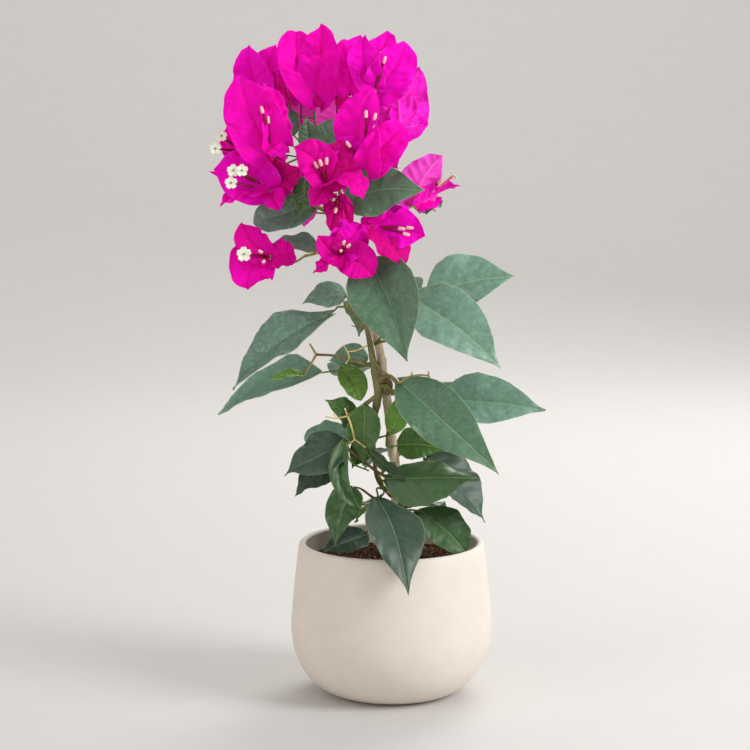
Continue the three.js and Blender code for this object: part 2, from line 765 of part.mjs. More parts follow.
function massPieces(mass) {
  const path = mass.path.map(point);
  const stem = [...stemStart(mass, path, mass.radius), ...path];
  const courses = [curveThrough(stem)];
  const pieces = [twig(stem, mass.radius, mass.radius * 0.7, 5)];
  for (const [first, ...rest] of mass.twigs ?? []) {
    const twigPath = [nearestPlace(courses, point(first)), ...rest.map(point)];
    courses.push(curveThrough(twigPath));
    pieces.push(twig(twigPath, mass.radius * 0.7, mass.radius * 0.5));
  }
  for (const leaf of mass.leaves) {
    const base = point(leaf.at);
    const hold = base.clone().addScaledVector(aimed(leaf.aim), 2);
    pieces.push(leafBlade(leaf));
    pieces.push(twig([nearestPlace(courses, base), hold], petioleRadius.foot, petioleRadius.tip, stalkSides));
  }
  for (const bloom of mass.clusters ?? []) {
    const hub = point(bloom.at);
    const foot = nearestPlace(courses, hub);
    if (foot.distanceTo(hub) > pedicelRadius) pieces.push(twig([foot, hub], pedicelRadius, pedicelRadius, stalkSides));
    pieces.push(...cluster(bloom));
  }
  return pieces;
}

for (const mass of leafMasses) addPiece(mass.name, fused(massPieces(mass)), foliage);
for (const mass of blossomMasses) addPiece(mass.name, fused(massPieces(mass)), blossom);

export default plant;
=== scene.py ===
import math
import random

import bpy
import numpy as np
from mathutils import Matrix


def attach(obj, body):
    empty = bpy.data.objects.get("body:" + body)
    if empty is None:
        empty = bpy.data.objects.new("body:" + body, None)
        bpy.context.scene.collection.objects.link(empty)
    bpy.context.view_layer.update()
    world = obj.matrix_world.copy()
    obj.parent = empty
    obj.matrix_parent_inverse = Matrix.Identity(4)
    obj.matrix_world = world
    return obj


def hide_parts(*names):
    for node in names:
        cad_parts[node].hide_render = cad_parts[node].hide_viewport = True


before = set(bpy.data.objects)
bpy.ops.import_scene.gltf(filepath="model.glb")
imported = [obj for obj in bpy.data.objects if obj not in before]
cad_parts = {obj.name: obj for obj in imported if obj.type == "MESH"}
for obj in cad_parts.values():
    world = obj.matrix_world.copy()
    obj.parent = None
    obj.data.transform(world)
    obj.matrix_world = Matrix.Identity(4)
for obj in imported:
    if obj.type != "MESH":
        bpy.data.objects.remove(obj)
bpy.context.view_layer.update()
print("frame loaded:", len(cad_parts), "nodes")

# A potted bougainvillea. Places and sizes in the lists are millimetres in the frame's axes, and turn
# into metres when a mesh is made. Headings are degrees in plan, -90 towards the viewer.
mm = 0.001


# Camera, light and floor

photoView = {"place": (-10.2, -1500, 418), "down": 8.28, "focalPixels": 2460, "photoPixels": 750}
studio = {
    "air": (0.95, 0.94, 0.93), "airStrength": 0.56,
    # metres: the floor's side, the wall behind it and the sweep between them
    "floor": 7, "wall": 4, "sweep": 2.2, "floorColor": (0.64, 0.62, 0.60),
    "lights": [
        # name, place, aimed at, size, watts, colour
        ("windowRight", (1250, -620, 900), (0, 0, 230), 800, 18.5, (0.975, 0.98, 1.0)),
        ("windowBack", (500, 1100, 1000), (0, 0, 260), 900, 9, (1.0, 0.99, 0.97)),
        ("fillLeft", (-1300, -900, 700), (0, 0, 220), 1300, 5.8, (1.0, 0.965, 0.93)),
        ("wallWash", (0, 1300, 2600), (0, 3300, 900), 1500, 25, (1.0, 0.99, 0.98)),
    ],
}


def addCamera():
    bpy.ops.object.camera_add(location=[v * mm for v in photoView["place"]])
    camera = bpy.context.object
    camera.name = "photoCamera"
    camera.rotation_euler = (math.radians(90 - photoView["down"]), 0, 0)
    camera.data.sensor_width = 36
    camera.data.lens = camera.data.sensor_width * photoView["focalPixels"] / photoView["photoPixels"]
    camera.data.clip_start = 0.05
    bpy.context.scene.camera = camera


def addLights():
    world = bpy.data.worlds.new("paleAir")
    world.use_nodes = True
    world.node_tree.nodes["Background"].inputs["Color"].default_value = (*studio["air"], 1)
    world.node_tree.nodes["Background"].inputs["Strength"].default_value = studio["airStrength"]
    bpy.context.scene.world = world
    bpy.context.scene.view_settings.view_transform = "Standard"
    for name, place, aim, size, watts, color in studio["lights"]:
        bpy.ops.object.light_add(type="AREA", location=[v * mm for v in place])
        lamp = bpy.context.object
        lamp.name = name
        lamp.data.shape = "DISK"
        lamp.data.size = size * mm
        lamp.data.energy = watts
        lamp.data.color = color
        away = np.array(place, float) - np.array(aim, float)
        tilt = math.atan2(math.hypot(away[0], away[1]), away[2])
        lamp.rotation_euler = (tilt, 0, math.atan2(away[1], away[0]) + math.pi / 2)


def selectEdges(piece, wanted):
    bpy.ops.object.mode_set(mode="OBJECT")
    places = [vertex.co for vertex in piece.data.vertices]
    for edge in piece.data.edges:
        edge.select = all(wanted(places[v]) for v in edge.vertices)
    for vertex in piece.data.vertices:
        vertex.select = wanted(vertex.co)
    for face in piece.data.polygons:
        face.select = all(wanted(places[v]) for v in face.vertices)
    bpy.ops.object.mode_set(mode="EDIT")


def addFloor():
    # a plane whose far edge is drawn up into a wall, with a round sweep between them
    back = studio["floor"] / 2 - 0.5
    bpy.ops.object.select_all(action="DESELECT")
    bpy.ops.mesh.primitive_plane_add(size=studio["floor"], location=(0, 0, 0))
    floor = bpy.context.object
    floor.name = "floor"
    bpy.ops.object.mode_set(mode="EDIT")
    bpy.ops.mesh.select_mode(type="EDGE")
    selectEdges(floor, lambda co: co.y > back)
    bpy.ops.mesh.extrude_edges_move(TRANSFORM_OT_translate={"value": (0, 0, studio["wall"])})
    selectEdges(floor, lambda co: co.y > back and co.z < 0.1)
    bpy.ops.mesh.bevel(offset=studio["sweep"], offset_pct=0, segments=24, affect="EDGES")
    bpy.ops.object.mode_set(mode="OBJECT")
    bpy.ops.object.shade_smooth()
    floor.data.materials.append(
        finish("paleFloor", studio["floorColor"], roughness=0.7, mottle=0.01, grain=40),
    )
    print("studio set:", len(studio["lights"]), "lights")


# Finishes

def srgb(*levels):
    # a colour as the eye sees it, 0 to 255, as the shader's linear value
    shares = [level / 255 for level in levels]
    return tuple(v / 12.92 if v <= 0.04045 else ((v + 0.055) / 1.055) ** 2.4 for v in shares)


def finish(
        name, color, roughness=0.5, mottle=0.1, grain=300, bump=0.0, bumpScale=900, soft=0.0, specks=None,
        stretch=(1, 1, 1), specular=0.5,
):
    # a colour that wavers by mottle, with a fine bump and, where given, specks
    material = bpy.data.materials.new(name)
    material.use_nodes = True
    material.diffuse_color = (*color, 1)
    tree = material.node_tree
    shader = tree.nodes["Principled BSDF"]
    shader.inputs["Roughness"].default_value = roughness
    shader.inputs["Specular IOR Level"].default_value = specular
    place = tree.nodes.new("ShaderNodeTexCoord")
    mapping = tree.nodes.new("ShaderNodeMapping")
    mapping.inputs["Scale"].default_value = stretch
    tree.links.new(place.outputs["Object"], mapping.inputs["Vector"])

    def noise(scale, detail):
        node = tree.nodes.new("ShaderNodeTexNoise")
        node.inputs["Scale"].default_value = scale
        node.inputs["Detail"].default_value = detail
        tree.links.new(mapping.outputs["Vector"], node.inputs["Vector"])
        return node.outputs["Fac"]

    def ramp(factor, low, high, start, end):
        node = tree.nodes.new("ShaderNodeValToRGB")
        for element, position, value in zip(node.color_ramp.elements, (start, end), (low, high)):
            element.position = position
            element.color = (*value, 1)
        tree.links.new(factor, node.inputs["Fac"])
        return node.outputs["Color"]

    low = tuple(v * (1 - mottle) for v in color)
    high = tuple(min(1, v * (1 + mottle)) for v in color)
    tint = ramp(noise(grain, 4), low, high, 0.3, 0.7)
    if specks:
        mix = tree.nodes.new("ShaderNodeMix")
        mix.data_type = "RGBA"
        most = (specks["strength"],) * 3
        amount = ramp(noise(specks["scale"], 2), (0, 0, 0), most, specks["from"], specks["to"])
        tree.links.new(amount, mix.inputs["Factor"])
        # sockets 6 and 7 are the two colours of a colour mix, and 2 is its result
        tree.links.new(tint, mix.inputs[6])
        mix.inputs[7].default_value = (*specks["color"], 1)
        tint = mix.outputs[2]
    tree.links.new(tint, shader.inputs["Base Color"])
    if bump:
        node = tree.nodes.new("ShaderNodeBump")
        node.inputs["Strength"].default_value = bump
        node.inputs["Distance"].default_value = 0.0004
        tree.links.new(noise(bumpScale, 3), node.inputs["Height"])
        tree.links.new(node.outputs["Normal"], shader.inputs["Normal"])
    if soft:
        shader.inputs["Subsurface Weight"].default_value = soft
        shader.inputs["Subsurface Radius"].default_value = (1.0, 0.35, 0.8)
        shader.inputs["Subsurface Scale"].default_value = 0.0012
    return material


# specks lie over a colour where their own noise is past from, and are full at to
dust = {"scale": 900, "strength": 0.32, "from": 0.63, "to": 0.7, "color": srgb(172, 194, 180)}
residue = {"scale": 440, "strength": 0.27, "from": 0.53, "to": 0.68, "color": srgb(168, 194, 178)}
smears = {"scale": 1400, "strength": 0.2, "from": 0.65, "to": 0.74, "color": srgb(150, 176, 150)}
stains = {"scale": 190, "strength": 0.4, "from": 0.54, "to": 0.66, "color": srgb(120, 98, 66)}
leafTones = {
    # upper side, lower side, midrib, side veins, rim
    "blue": ((94, 126, 108), (122, 148, 128), (136, 160, 126), (106, 136, 114), (140, 164, 130)),
    "mist": ((113, 151, 128), (134, 162, 140), (152, 178, 142), (122, 158, 133), (156, 182, 146)),
    "sage": ((82, 117, 88), (118, 145, 116), (132, 158, 114), (93, 128, 97), (134, 160, 112)),
    "deep": ((62, 97, 53), (100, 128, 84), (116, 142, 82), (72, 100, 58), (102, 130, 66)),
    "moss": ((62, 100, 35), (98, 130, 62), (118, 146, 66), (70, 104, 42), (104, 136, 54)),
    # the next two tones are darker greens, painted shade for leaves in the plant's own shadow: a blue-green
    # one and a yellow-green one
    "slate": ((56, 79, 62), (98, 124, 98), (112, 138, 100), (72, 98, 76), (104, 130, 92)),
    "shade": ((42, 68, 32), (74, 100, 54), (92, 118, 58), (52, 78, 38), (80, 108, 48)),
    "dark": ((48, 66, 48), (88, 110, 84), (98, 122, 84), (58, 78, 56), (86, 108, 70)),
    "fresh": ((96, 142, 46), (128, 164, 80), (160, 182, 92), (110, 154, 60), (156, 184, 88)),
}
bractTones = {
    # inner side, outer side, midrib, side veins, and the outer side's midrib and side veins
    "magenta": (
        (252, 0, 182), (250, 20, 192), (214, 0, 130), (234, 0, 154), (252, 70, 204), (252, 56, 202),
    ),
    # bright is dealt at random as a lighter bract's own tone, and is also given in place of the dealt tone
    # as painted light
    "bright": ((254, 2, 198), (252, 40, 206), (222, 0, 146), (240, 0, 168), (252, 72, 210), (252, 62, 208)),
    # the next two tones are darker copies of magenta, painted shade for bracts in the crown's own shade;
    # the second is deeper still, for a cup's shaded inside and for hanging bracts
    "cerise": ((228, 0, 158), (218, 4, 150), (182, 0, 110), (210, 0, 134), (202, 0, 126), (210, 2, 136)),
    "ruby": ((210, 0, 130), (198, 2, 122), (160, 0, 90), (186, 0, 108), (176, 0, 98), (186, 0, 108)),
    "pale": (
        (250, 30, 190), (250, 84, 208), (226, 10, 160), (240, 20, 174), (252, 116, 216), (252, 106, 214),
    ),
}
# stems and twigs
woods = {
    "bark": (240, 214, 186), "brown": (122, 98, 68), "olive": (112, 116, 60), "oldOlive": (124, 119, 76),
    "pale": (234, 222, 180), "tan": (176, 156, 92), "green": (100, 126, 62), "yellow": (214, 194, 122),
    "wine": (112, 24, 54),
}
petals = {
    "tube": (140, 8, 66), "bud": (252, 204, 200), "star": (252, 250, 232), "eye": (150, 142, 70),
    "paleTube": (232, 168, 140),
}
surfaces = {
    "leaf": dict(roughness=0.4, mottle=0.16, grain=260, bump=0.4, bumpScale=1500),
    "leafBack": dict(roughness=0.6, mottle=0.1, grain=260, bump=0.2, bumpScale=1300),
    "leafLine": dict(roughness=0.5, mottle=0.08, grain=400),
    "bract": dict(
        roughness=0.78, mottle=0.07, grain=330, bump=0.7, bumpScale=620, soft=0.3, specular=0.1,
    ),
    "bractLine": dict(roughness=0.66, mottle=0.08, grain=400, specular=0.18),
    "wood": dict(roughness=0.72, mottle=0.3, bump=0.9, stretch=(1, 1, 0.16), specular=0.25),
    "petal": dict(roughness=0.5, mottle=0.08, grain=500, bump=0.2, specular=0.3),
    "clay": dict(roughness=0.62, mottle=0.025, grain=90, bump=0.25, bumpScale=1600, specular=0.35),
    "soil": dict(roughness=0.95, grain=900, bump=1.0, specular=0.1),
}
# every finish by its name, once mixed
finishes = {}


def mixFinish(name, color, surface, **own):
    finishes[name] = finish(name, srgb(*color), **{**surfaces[surface], **own})


def mixFinishes():
    for tone, (upper, lower, *lines) in leafTones.items():
        specks = {"blue": residue, "mist": residue, "sage": dust}.get(tone, smears)
        mixFinish(tone + "Leaf", upper, "leaf", specks=specks)
        mixFinish(tone + "LeafBack", lower, "leafBack")
        for part, color in zip(("LeafRib", "LeafVein", "LeafRim"), lines):
            mixFinish(tone + part, color, "leafLine")
    for tone, (inner, outer, *lines) in bractTones.items():
        mixFinish(tone + "Bract", inner, "bract")
        mixFinish(tone + "BractBack", outer, "bract")
        for part, color in zip(("BractRib", "BractVein", "BractBackRib", "BractBackVein"), lines):
            mixFinish(tone + part, color, "bractLine")
    for name, color in woods.items():
        stained = name in ("bark", "brown", "oldOlive")
        mixFinish(name + "Wood", color, "wood", specks=stains if stained else None)
    for name, color in petals.items():
        mixFinish(name + "Petal", color, "petal")
    mixFinish("matteClay", potForm["color"], "clay")
    mixFinish("loam", soilForm["color"], "soil", mottle=0.45)
    for name, (color, mottle, weight) in soilForm["crumbKinds"].items():
        mixFinish(name, color, "soil", mottle=mottle, bumpScale=1400)
    print("finishes mixed:", len(finishes))


# Directions and courses

def unit(vector):
    return vector / np.linalg.norm(vector)


def aimed(heading, pitch):
    heading, pitch = math.radians(heading), math.radians(pitch)
    flat = math.cos(pitch)
    return np.array([flat * math.cos(heading), flat * math.sin(heading), math.sin(pitch)])


def turned(vector, axis, angle):
    angle = math.radians(angle)
    return (
        vector * math.cos(angle) + np.cross(axis, vector) * math.sin(angle)
        + axis * np.dot(axis, vector) * (1 - math.cos(angle))
    )


def upperSide(aim, turn=0):
    return turned(aimed(aim[0], aim[1] + 90), aimed(*aim), turn)


class Course:
    # a smooth curve through points, with 16 steps from one to the next, walked by its length
    def __init__(self, points):
        spots = np.array(points, float)
        if len(spots) > 2:
            ends = np.vstack([2 * spots[0] - spots[1], spots, 2 * spots[-1] - spots[-2]])
            t = np.linspace(0, 1, 16, endpoint=False)[:, None]
            parts = []
            for a, b, c, d in zip(ends, ends[1:], ends[2:], ends[3:]):
                parts.append(
                    (2 * t ** 3 - 3 * t ** 2 + 1) * b + (t ** 3 - 2 * t ** 2 + t) * (c - a) / 2
                    + (3 * t ** 2 - 2 * t ** 3) * c + (t ** 3 - t ** 2) * (d - b) / 2
                )
            spots = np.vstack(parts + [spots[-1:]])
        self.spots = spots
        self.reach = np.concatenate([[0], np.cumsum(np.linalg.norm(np.diff(spots, axis=0), axis=1))])
        self.length = self.reach[-1]

    def at(self, t):
        walked = np.asarray(t) * self.length
        return np.stack([np.interp(walked, self.reach, self.spots[:, k]) for k in range(3)], axis=-1)

    def heading(self, t):
        return unit(self.at(min(1, t + 0.01)) - self.at(max(0, t - 0.01)))


# Joined meshes made from arrays

class Heap:
    # points and faces of one kind of small thing, gathered for one joined mesh
    def __init__(self):
        self.points = []
        self.faces = []
        self.count = 0
        self.slots = []

    def slotOf(self, name):
        if name not in self.slots:
            self.slots.append(name)
        return self.slots.index(name)

    def add(self, points, *groups):
        self.points.append(points.reshape(-1, 3))
        for faces, slots in groups:
            faces = np.asarray(faces)
            slots = np.broadcast_to(np.asarray(slots), (len(faces),))
            self.faces.append((faces + self.count, slots))
        self.count += len(self.points[-1])

    def triangles(self):
        return sum(len(faces) * (faces.shape[1] - 2) for faces, slots in self.faces)

    def piece(self, name, node, slot):
        if not self.faces:
            return
        mesh = bpy.data.meshes.new(name)
        points = np.concatenate(self.points) * mm
        corners = np.concatenate([faces.ravel() for faces, slots in self.faces])
        sizes = np.concatenate([np.full(len(faces), faces.shape[1]) for faces, slots in self.faces])
        starts = np.concatenate([[0], np.cumsum(sizes)[:-1]])
        kinds = np.concatenate([slots for faces, slots in self.faces])
        mesh.vertices.add(len(points))
        mesh.vertices.foreach_set("co", points.ravel())
        mesh.loops.add(len(corners))
        mesh.loops.foreach_set("vertex_index", corners.astype(np.int32))
        mesh.polygons.add(len(sizes))
        mesh.polygons.foreach_set("loop_start", starts.astype(np.int32))
        mesh.polygons.foreach_set("material_index", kinds.astype(np.int32))
        mesh.polygons.foreach_set("use_smooth", np.ones(len(sizes), bool))
        mesh.update(calc_edges=True)
        for slotName in self.slots:
            mesh.materials.append(finishes[slotName])
        piece = bpy.data.objects.new(name, mesh)
        bpy.context.scene.collection.objects.link(piece)
        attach(piece, "root")
        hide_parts(*node)


def gridFaces(rows, columns, around=False):
    # faces between the rows of a grid of points; around closes each row into a ring
    r = np.arange(rows - 1)[:, None]
    c = np.arange(columns if around else columns - 1)[None, :]
    d = (c + 1) % columns
    corners = [r * columns + c, r * columns + d, (r + 1) * columns + d, (r + 1) * columns + c]
    return np.stack(np.broadcast_arrays(*corners), axis=-1).reshape(-1, 4)


def tubeMesh(heap, course, radiusAt, slotName, sides=8, step=1.6, ribs=0.0, ribCount=5):
    # a tube with a rounded tip; slotName may be a function of the way along it
    rings = max(4, int(course.length / step))
    way = np.linspace(0, 1, rings + 1)
    centre = course.at(way)
    along = np.gradient(centre, axis=0)
    along /= np.linalg.norm(along, axis=1)[:, None]
    radius = np.array([radiusAt(t) for t in way])
    # short rings round off the tip
    for shrink, lift in ((0.9, 0.2), (0.7, 0.6), (0.3, 1)):
        shift = min(radius[-1] * 0.5, 0.5) * lift
        centre = np.vstack([centre, centre[rings] + along[rings] * shift])
        along = np.vstack([along, along[rings]])
        radius = np.append(radius, radius[rings] * shrink)
        way = np.append(way, 1.0)
    normal = np.cross(along[0], [0.3, 0.2, 1.0] if abs(along[0][2]) < 0.9 else [1.0, 0.2, 0])
    normals = []
    for direction in along:
        normal = unit(normal - direction * np.dot(normal, direction))
        normals.append(normal)
    normals = np.array(normals)[:, None, :]
    binormals = np.cross(along, normals[:, 0])[:, None, :]
    angles = np.linspace(0, 2 * math.pi, sides, endpoint=False)
    swell = 1 + ribs * np.cos(ribCount * angles)
    ring = np.cos(angles)[None, :, None] * normals + np.sin(angles)[None, :, None] * binormals
    points = centre[:, None, :] + ring * (radius[:, None] * swell[None, :])[:, :, None]
    count = len(centre)
    # this winding faces outwards because the ring turns right-handed about the course
    faces = gridFaces(count, sides, around=True)
    names = [slotName(t) if callable(slotName) else slotName for t in way[:-1]]
    slots = np.repeat([heap.slotOf(name) for name in names], sides)
    foot = np.arange(sides)[::-1][None, :]
    tip = (np.arange(sides) + (count - 1) * sides)[None, :]
    heap.add(points, (faces, slots), (foot, slots[0]), (tip, slots[-1]))


# Blades: leaves and bracts

# an outline is the half width, 1 at its widest, at places from the base, 0, to the tip, 1
plainLeaf = [
    (0, 0.02), (0.03, 0.24), (0.08, 0.52), (0.15, 0.77), (0.25, 0.95), (0.36, 1), (0.5, 0.93), (0.63, 0.75),
    (0.75, 0.49), (0.84, 0.28), (0.9, 0.16), (0.95, 0.08), (1, 0.01),
]
bluntLeaf = [
    (0, 0.02), (0.05, 0.3), (0.14, 0.62), (0.28, 0.88), (0.45, 1), (0.62, 0.97), (0.78, 0.8), (0.9, 0.52),
    (0.97, 0.24), (1, 0.04),
]
longLeaf = [
    (0, 0.02), (0.06, 0.16), (0.15, 0.42), (0.28, 0.76), (0.42, 0.97), (0.5, 1), (0.62, 0.86), (0.74, 0.6),
    (0.85, 0.3), (0.93, 0.1), (1, 0.01),
]
wingedLeaf = [
    (0, 0.02), (0.05, 0.1), (0.12, 0.28), (0.2, 0.6), (0.3, 0.9), (0.38, 1), (0.5, 0.94), (0.63, 0.76),
    (0.75, 0.5), (0.84, 0.31), (0.92, 0.16), (1, 0.01),
]
taperLeaf = [
    (0, 0.02), (0.04, 0.3), (0.1, 0.68), (0.18, 0.94), (0.26, 1), (0.38, 0.88), (0.52, 0.68), (0.68, 0.46),
    (0.82, 0.27), (0.92, 0.13), (1, 0.01),
]
plainBract = [
    (0, 0.34), (0.05, 0.62), (0.12, 0.83), (0.24, 0.98), (0.36, 1), (0.5, 0.95), (0.64, 0.82), (0.78, 0.61),
    (0.88, 0.38), (0.95, 0.17), (1, 0.02),
]
squareBract = [
    (0, 0.42), (0.06, 0.7), (0.15, 0.86), (0.3, 0.97), (0.46, 1), (0.6, 0.96), (0.72, 0.84), (0.82, 0.62),
    (0.89, 0.36), (0.94, 0.16), (1, 0.01),
]
broadBract = [
    (0, 0.62), (0.05, 0.84), (0.12, 0.95), (0.25, 1), (0.42, 0.99), (0.58, 0.93), (0.7, 0.82), (0.8, 0.65),
    (0.88, 0.44), (0.95, 0.2), (1, 0.02),
]
bluntBract = [
    (0, 0.5), (0.05, 0.72), (0.14, 0.88), (0.28, 0.97), (0.45, 1), (0.62, 0.98), (0.78, 0.88), (0.9, 0.66),
    (0.97, 0.38), (1, 0.1),
]
bladeForms = {
    # between is the rows from one side vein to the next, sweep how far the veins run forwards, keel the
    # midrib's depth, heart how far the base reaches back
    "leaf": {
        "outline": plainLeaf, "between": 4, "columns": 7, "sweep": 0.3, "thickness": 0.42,
        "veinWidth": 0.26, "groove": 0.5, "keel": 0.35, "heart": 0.04, "ruffle": 1.3, "waves": 2.0,
        "tipCurl": 14, "cup": 0.0, "crinkle": 0.14,
    },
    "bract": {
        "outline": plainBract, "between": 5, "columns": 8, "sweep": 0.36, "thickness": 0.3,
        "veinWidth": 0.3, "groove": 0.6, "keel": 0.3, "heart": 0.12, "ruffle": 1.9, "waves": 2.3,
        "tipCurl": 26, "cup": 0.6, "crinkle": 0.36,
    },
}
bladeShape = {
    # the side veins: where the first and the last lie, how they crowd to the base, how far each strays,
    # and how the blade swells between them
    "veins": 6, "firstVein": 0.09, "lastVein": 0.86, "crowding": 1.06, "stray": 0.012, "quilt": 0.75,
    # the midrib and the rim, the most they take of the half width, and the least half width
    "ribWidth": 0.24, "rimWidth": 0.26, "mostRib": 0.35, "mostRim": 0.2, "leastHalf": 0.14,
    # the midrib's sway in degrees, and one long swell as a share of the length
    "sway": 9, "swell": 0.018,
    # fine creases, and the least and the most from one to the next
    "creases": 6, "creaseGap": (3.6, 9),
}
# about a full turn in radians
fullTurn = 6.28
bladeParts = {
    # upper side, lower side, midrib, side veins, rim, and the lower side's midrib and side veins
    "leaf": ("Leaf", "LeafBack", "LeafRib", "LeafVein", "LeafRim", "LeafRib", "LeafBack"),
    "bract": ("Bract", "BractBack", "BractRib", "BractVein", "BractBack", "BractBackRib", "BractBackVein"),
}


def smoothOutline(pairs):
    places, widths = zip(*pairs)
    fine = np.linspace(0, 1, 201)
    dense = np.interp(fine, places, widths)
    reach = 6
    padded = np.concatenate([np.full(reach, dense[0]), dense, np.full(reach, dense[-1])])
    weights = np.hanning(2 * reach + 1)
    return fine, np.convolve(padded, weights / weights.sum(), mode="same")[reach:-reach]


def bladeMesh(heap, kind, at, along, up, size, arch, tone, draw, fold=0, twist=0, bend=0, **own):
    # a thin closed blade whose rows follow its side veins; its chord runs from at in the direction along,
    # and its upper side looks to up
    form = {**bladeShape, **bladeForms[kind], **own}
    length, width = size
    veinHalf = form["veinWidth"] / 2 / length
    veins = np.linspace(form["firstVein"], form["lastVein"], form["veins"]) ** form["crowding"]
    veins = veins + np.array([draw.uniform(-form["stray"], form["stray"]) for v in veins])
    edges = np.concatenate([[0], veins, [1]])
    rows = []
    veinRows = []
    for i, (low, high) in enumerate(zip(edges, edges[1:])):
        atTip = i == len(edges) - 2
        low = low + (veinHalf if i else 0)
        high = high - (0 if atTip else veinHalf)
        if i:
            veinRows.append(len(rows) - 1)
        rows.extend(np.linspace(low, high, form["between"] + (3 if atTip else 0)))
    u = np.array(rows)[:, None]
    place = np.clip((u - edges[:-1]) / (edges[1:] - edges[:-1]), 0, 1)
    puff = np.max(np.sin(math.pi * place) * ((u > edges[:-1]) & (u < edges[1:])), axis=1)[:, None]

    outline = smoothOutline(form["outline"])

    def halfWidth(x):
        return np.maximum(form["leastHalf"], width / 2 * np.interp(x, *outline))

    rowHalf = halfWidth(u)
    rib = np.minimum(form["mostRib"], form["ribWidth"] / rowHalf)
    rim = np.minimum(form["mostRim"], form["rimWidth"] / rowHalf)
    inner = np.linspace(0, 1, form["columns"] + 1)[None, :]
    half = np.concatenate([rib + (1 - rim - rib) * inner, np.ones_like(rib)], axis=1)
    t = np.concatenate([-half[:, ::-1], np.zeros_like(rib), half], axis=1)
    out = np.abs(t)
    sweep = form["sweep"] * (1 - u) * np.minimum(1, u / 0.15)
    x = u + sweep * out * (1 + 0.35 * out) / 1.35
    y = t * halfWidth(x)

    # the midrib's bend, in its own plane and sideways, drawn to a straight chord
    fine = np.linspace(0, 1, 200)
    slope = np.radians(arch) * (0.5 - fine) - np.radians(form["tipCurl"]) * fine ** 4
    strays = np.radians(draw.uniform(-form["sway"], form["sway"]))
    sway = np.radians(bend) * (0.5 - fine) + strays * np.sin(2 * math.pi * fine)
    steps = np.stack([np.cos(slope) * np.cos(sway), np.sin(slope), np.sin(sway)], axis=1)
    course = np.cumsum(steps, axis=0)
    course -= course[0]
    chord = unit(course[-1])
    course *= length / np.linalg.norm(course[-1])
    across = unit(np.cross(chord, [0, 1, 0]))
    course = course @ np.stack([chord, np.cross(across, chord), across]).T
    ahead = np.gradient(course, axis=0)
    ahead /= np.linalg.norm(ahead, axis=1)[:, None]
    flank = np.cross(ahead, [0, 1, 0])
    flank /= np.linalg.norm(flank, axis=1)[:, None]
    rise = np.cross(flank, ahead)
    way = np.clip(x, 0, 1)

    def onCourse(values):
        return np.stack([np.interp(way, fine, values[:, k]) for k in range(3)], axis=-1)

    # height of the surface over the midrib
    tilt = math.radians(fold)
    height = (np.sqrt(y ** 2 + 0.4) - 0.632) * math.sin(tilt)
    spread = y * math.cos(tilt)
    height += form["cup"] * (y / 10) ** 2
    fade = np.sin(math.pi * way) ** 0.5
    height += form["quilt"] * puff * (4 * out * (1 - out)) ** 0.7 * fade
    phases = [draw.uniform(0, fullTurn) for i in range(4)]
    waves = form["waves"] * draw.uniform(0.8, 1.2)

    def ripple(long, short):
        return np.sin(waves * fullTurn * way + long) + 0.5 * np.sin(waves * 11 * way + short)

    wave = np.where(t > 0, ripple(*phases[:2]), ripple(*phases[2:]))
    height += form["ruffle"] * out ** 2.2 * wave * fade
    height += form["swell"] * length * draw.uniform(-1, 1) * np.sin(3 * way + 2 * t + phases[1])
    for i in range(form["creases"]):
        heading = draw.uniform(0, fullTurn / 2)
        step = fullTurn / draw.uniform(*form["creaseGap"])
        walked = x * length * math.cos(heading) + y * math.sin(heading)
        height += form["crinkle"] * np.sin(step * walked + draw.uniform(0, fullTurn)) * out * fade
    height -= form["groove"] * np.exp(-(y / 0.7) ** 2) * fade
    heart = form["heart"] * length * out ** 1.4 * (1 - way) ** 5

    spin = np.radians(twist) * (way - 0.4)
    lateral = (spread * np.cos(spin) - height * np.sin(spin))[..., None]
    lifted = (spread * np.sin(spin) + height * np.cos(spin))[..., None]
    local = onCourse(course) + onCourse(flank) * lateral + onCourse(rise) * lifted
    local -= onCourse(ahead) * heart[..., None]
    # the blade's own axes: x along, y up, z sideways
    front = at + local @ np.stack([along, up, np.cross(along, up)])
    normal = np.cross(np.gradient(front, axis=1), np.gradient(front, axis=0))
    normal /= np.maximum(1e-9, np.linalg.norm(normal, axis=2))[..., None]
    thick = form["thickness"] * (1 - 0.5 * out ** 4) + form["keel"] * np.exp(-(y / 0.8) ** 2) * (1 - way)
    rear = front - normal * thick[..., None]

    count, columns = t.shape
    total = count * columns
    middle = columns // 2
    upper = gridFaces(count, columns)
    lower = upper[:, ::-1] + total
    slots = [heap.slotOf(tone + part) for part in bladeParts[kind]]

    def cellSlots(face, rib, vein, rim):
        cells = np.full((count - 1, columns - 1), face)
        cells[veinRows, :] = vein
        cells[:, [middle - 1, middle]] = rib
        if rim is not None:
            cells[:, [0, -1]] = rim
        return cells.ravel()

    left = np.arange(count - 1) * columns
    right = left + columns - 1
    top = (count - 1) * columns + np.arange(columns - 1)
    foot = np.arange(columns - 1)
    rimFaces = np.concatenate([
        np.stack([left, left + columns, left + columns + total, left + total], axis=1),
        np.stack([right + columns, right, right + total, right + columns + total], axis=1),
        np.stack([foot + 1, foot, foot + total, foot + 1 + total], axis=1),
        np.stack([top, top + 1, top + 1 + total, top + total], axis=1),
    ])
    heap.add(
        np.concatenate([front.reshape(-1, 3), rear.reshape(-1, 3)]),
        (upper, cellSlots(slots[0], slots[2], slots[3], slots[4])),
        (lower, cellSlots(slots[1], slots[5], slots[6], None)), (rimFaces, slots[4]),
    )
    return front[:, middle, :], normal[:, middle, :]


# Flowers

flowerForm = {
    # tube is the greatest length; foot to eye are radii or what they grow by
    "tube": 17, "foot": 0.55, "belly": 0.32, "flare": 0.22, "bud": 1.0, "throat": 0.55, "eye": 0.62,
    "starThickness": 0.35, "towardsViewer": (0.1, -1.1, 0.15),
}


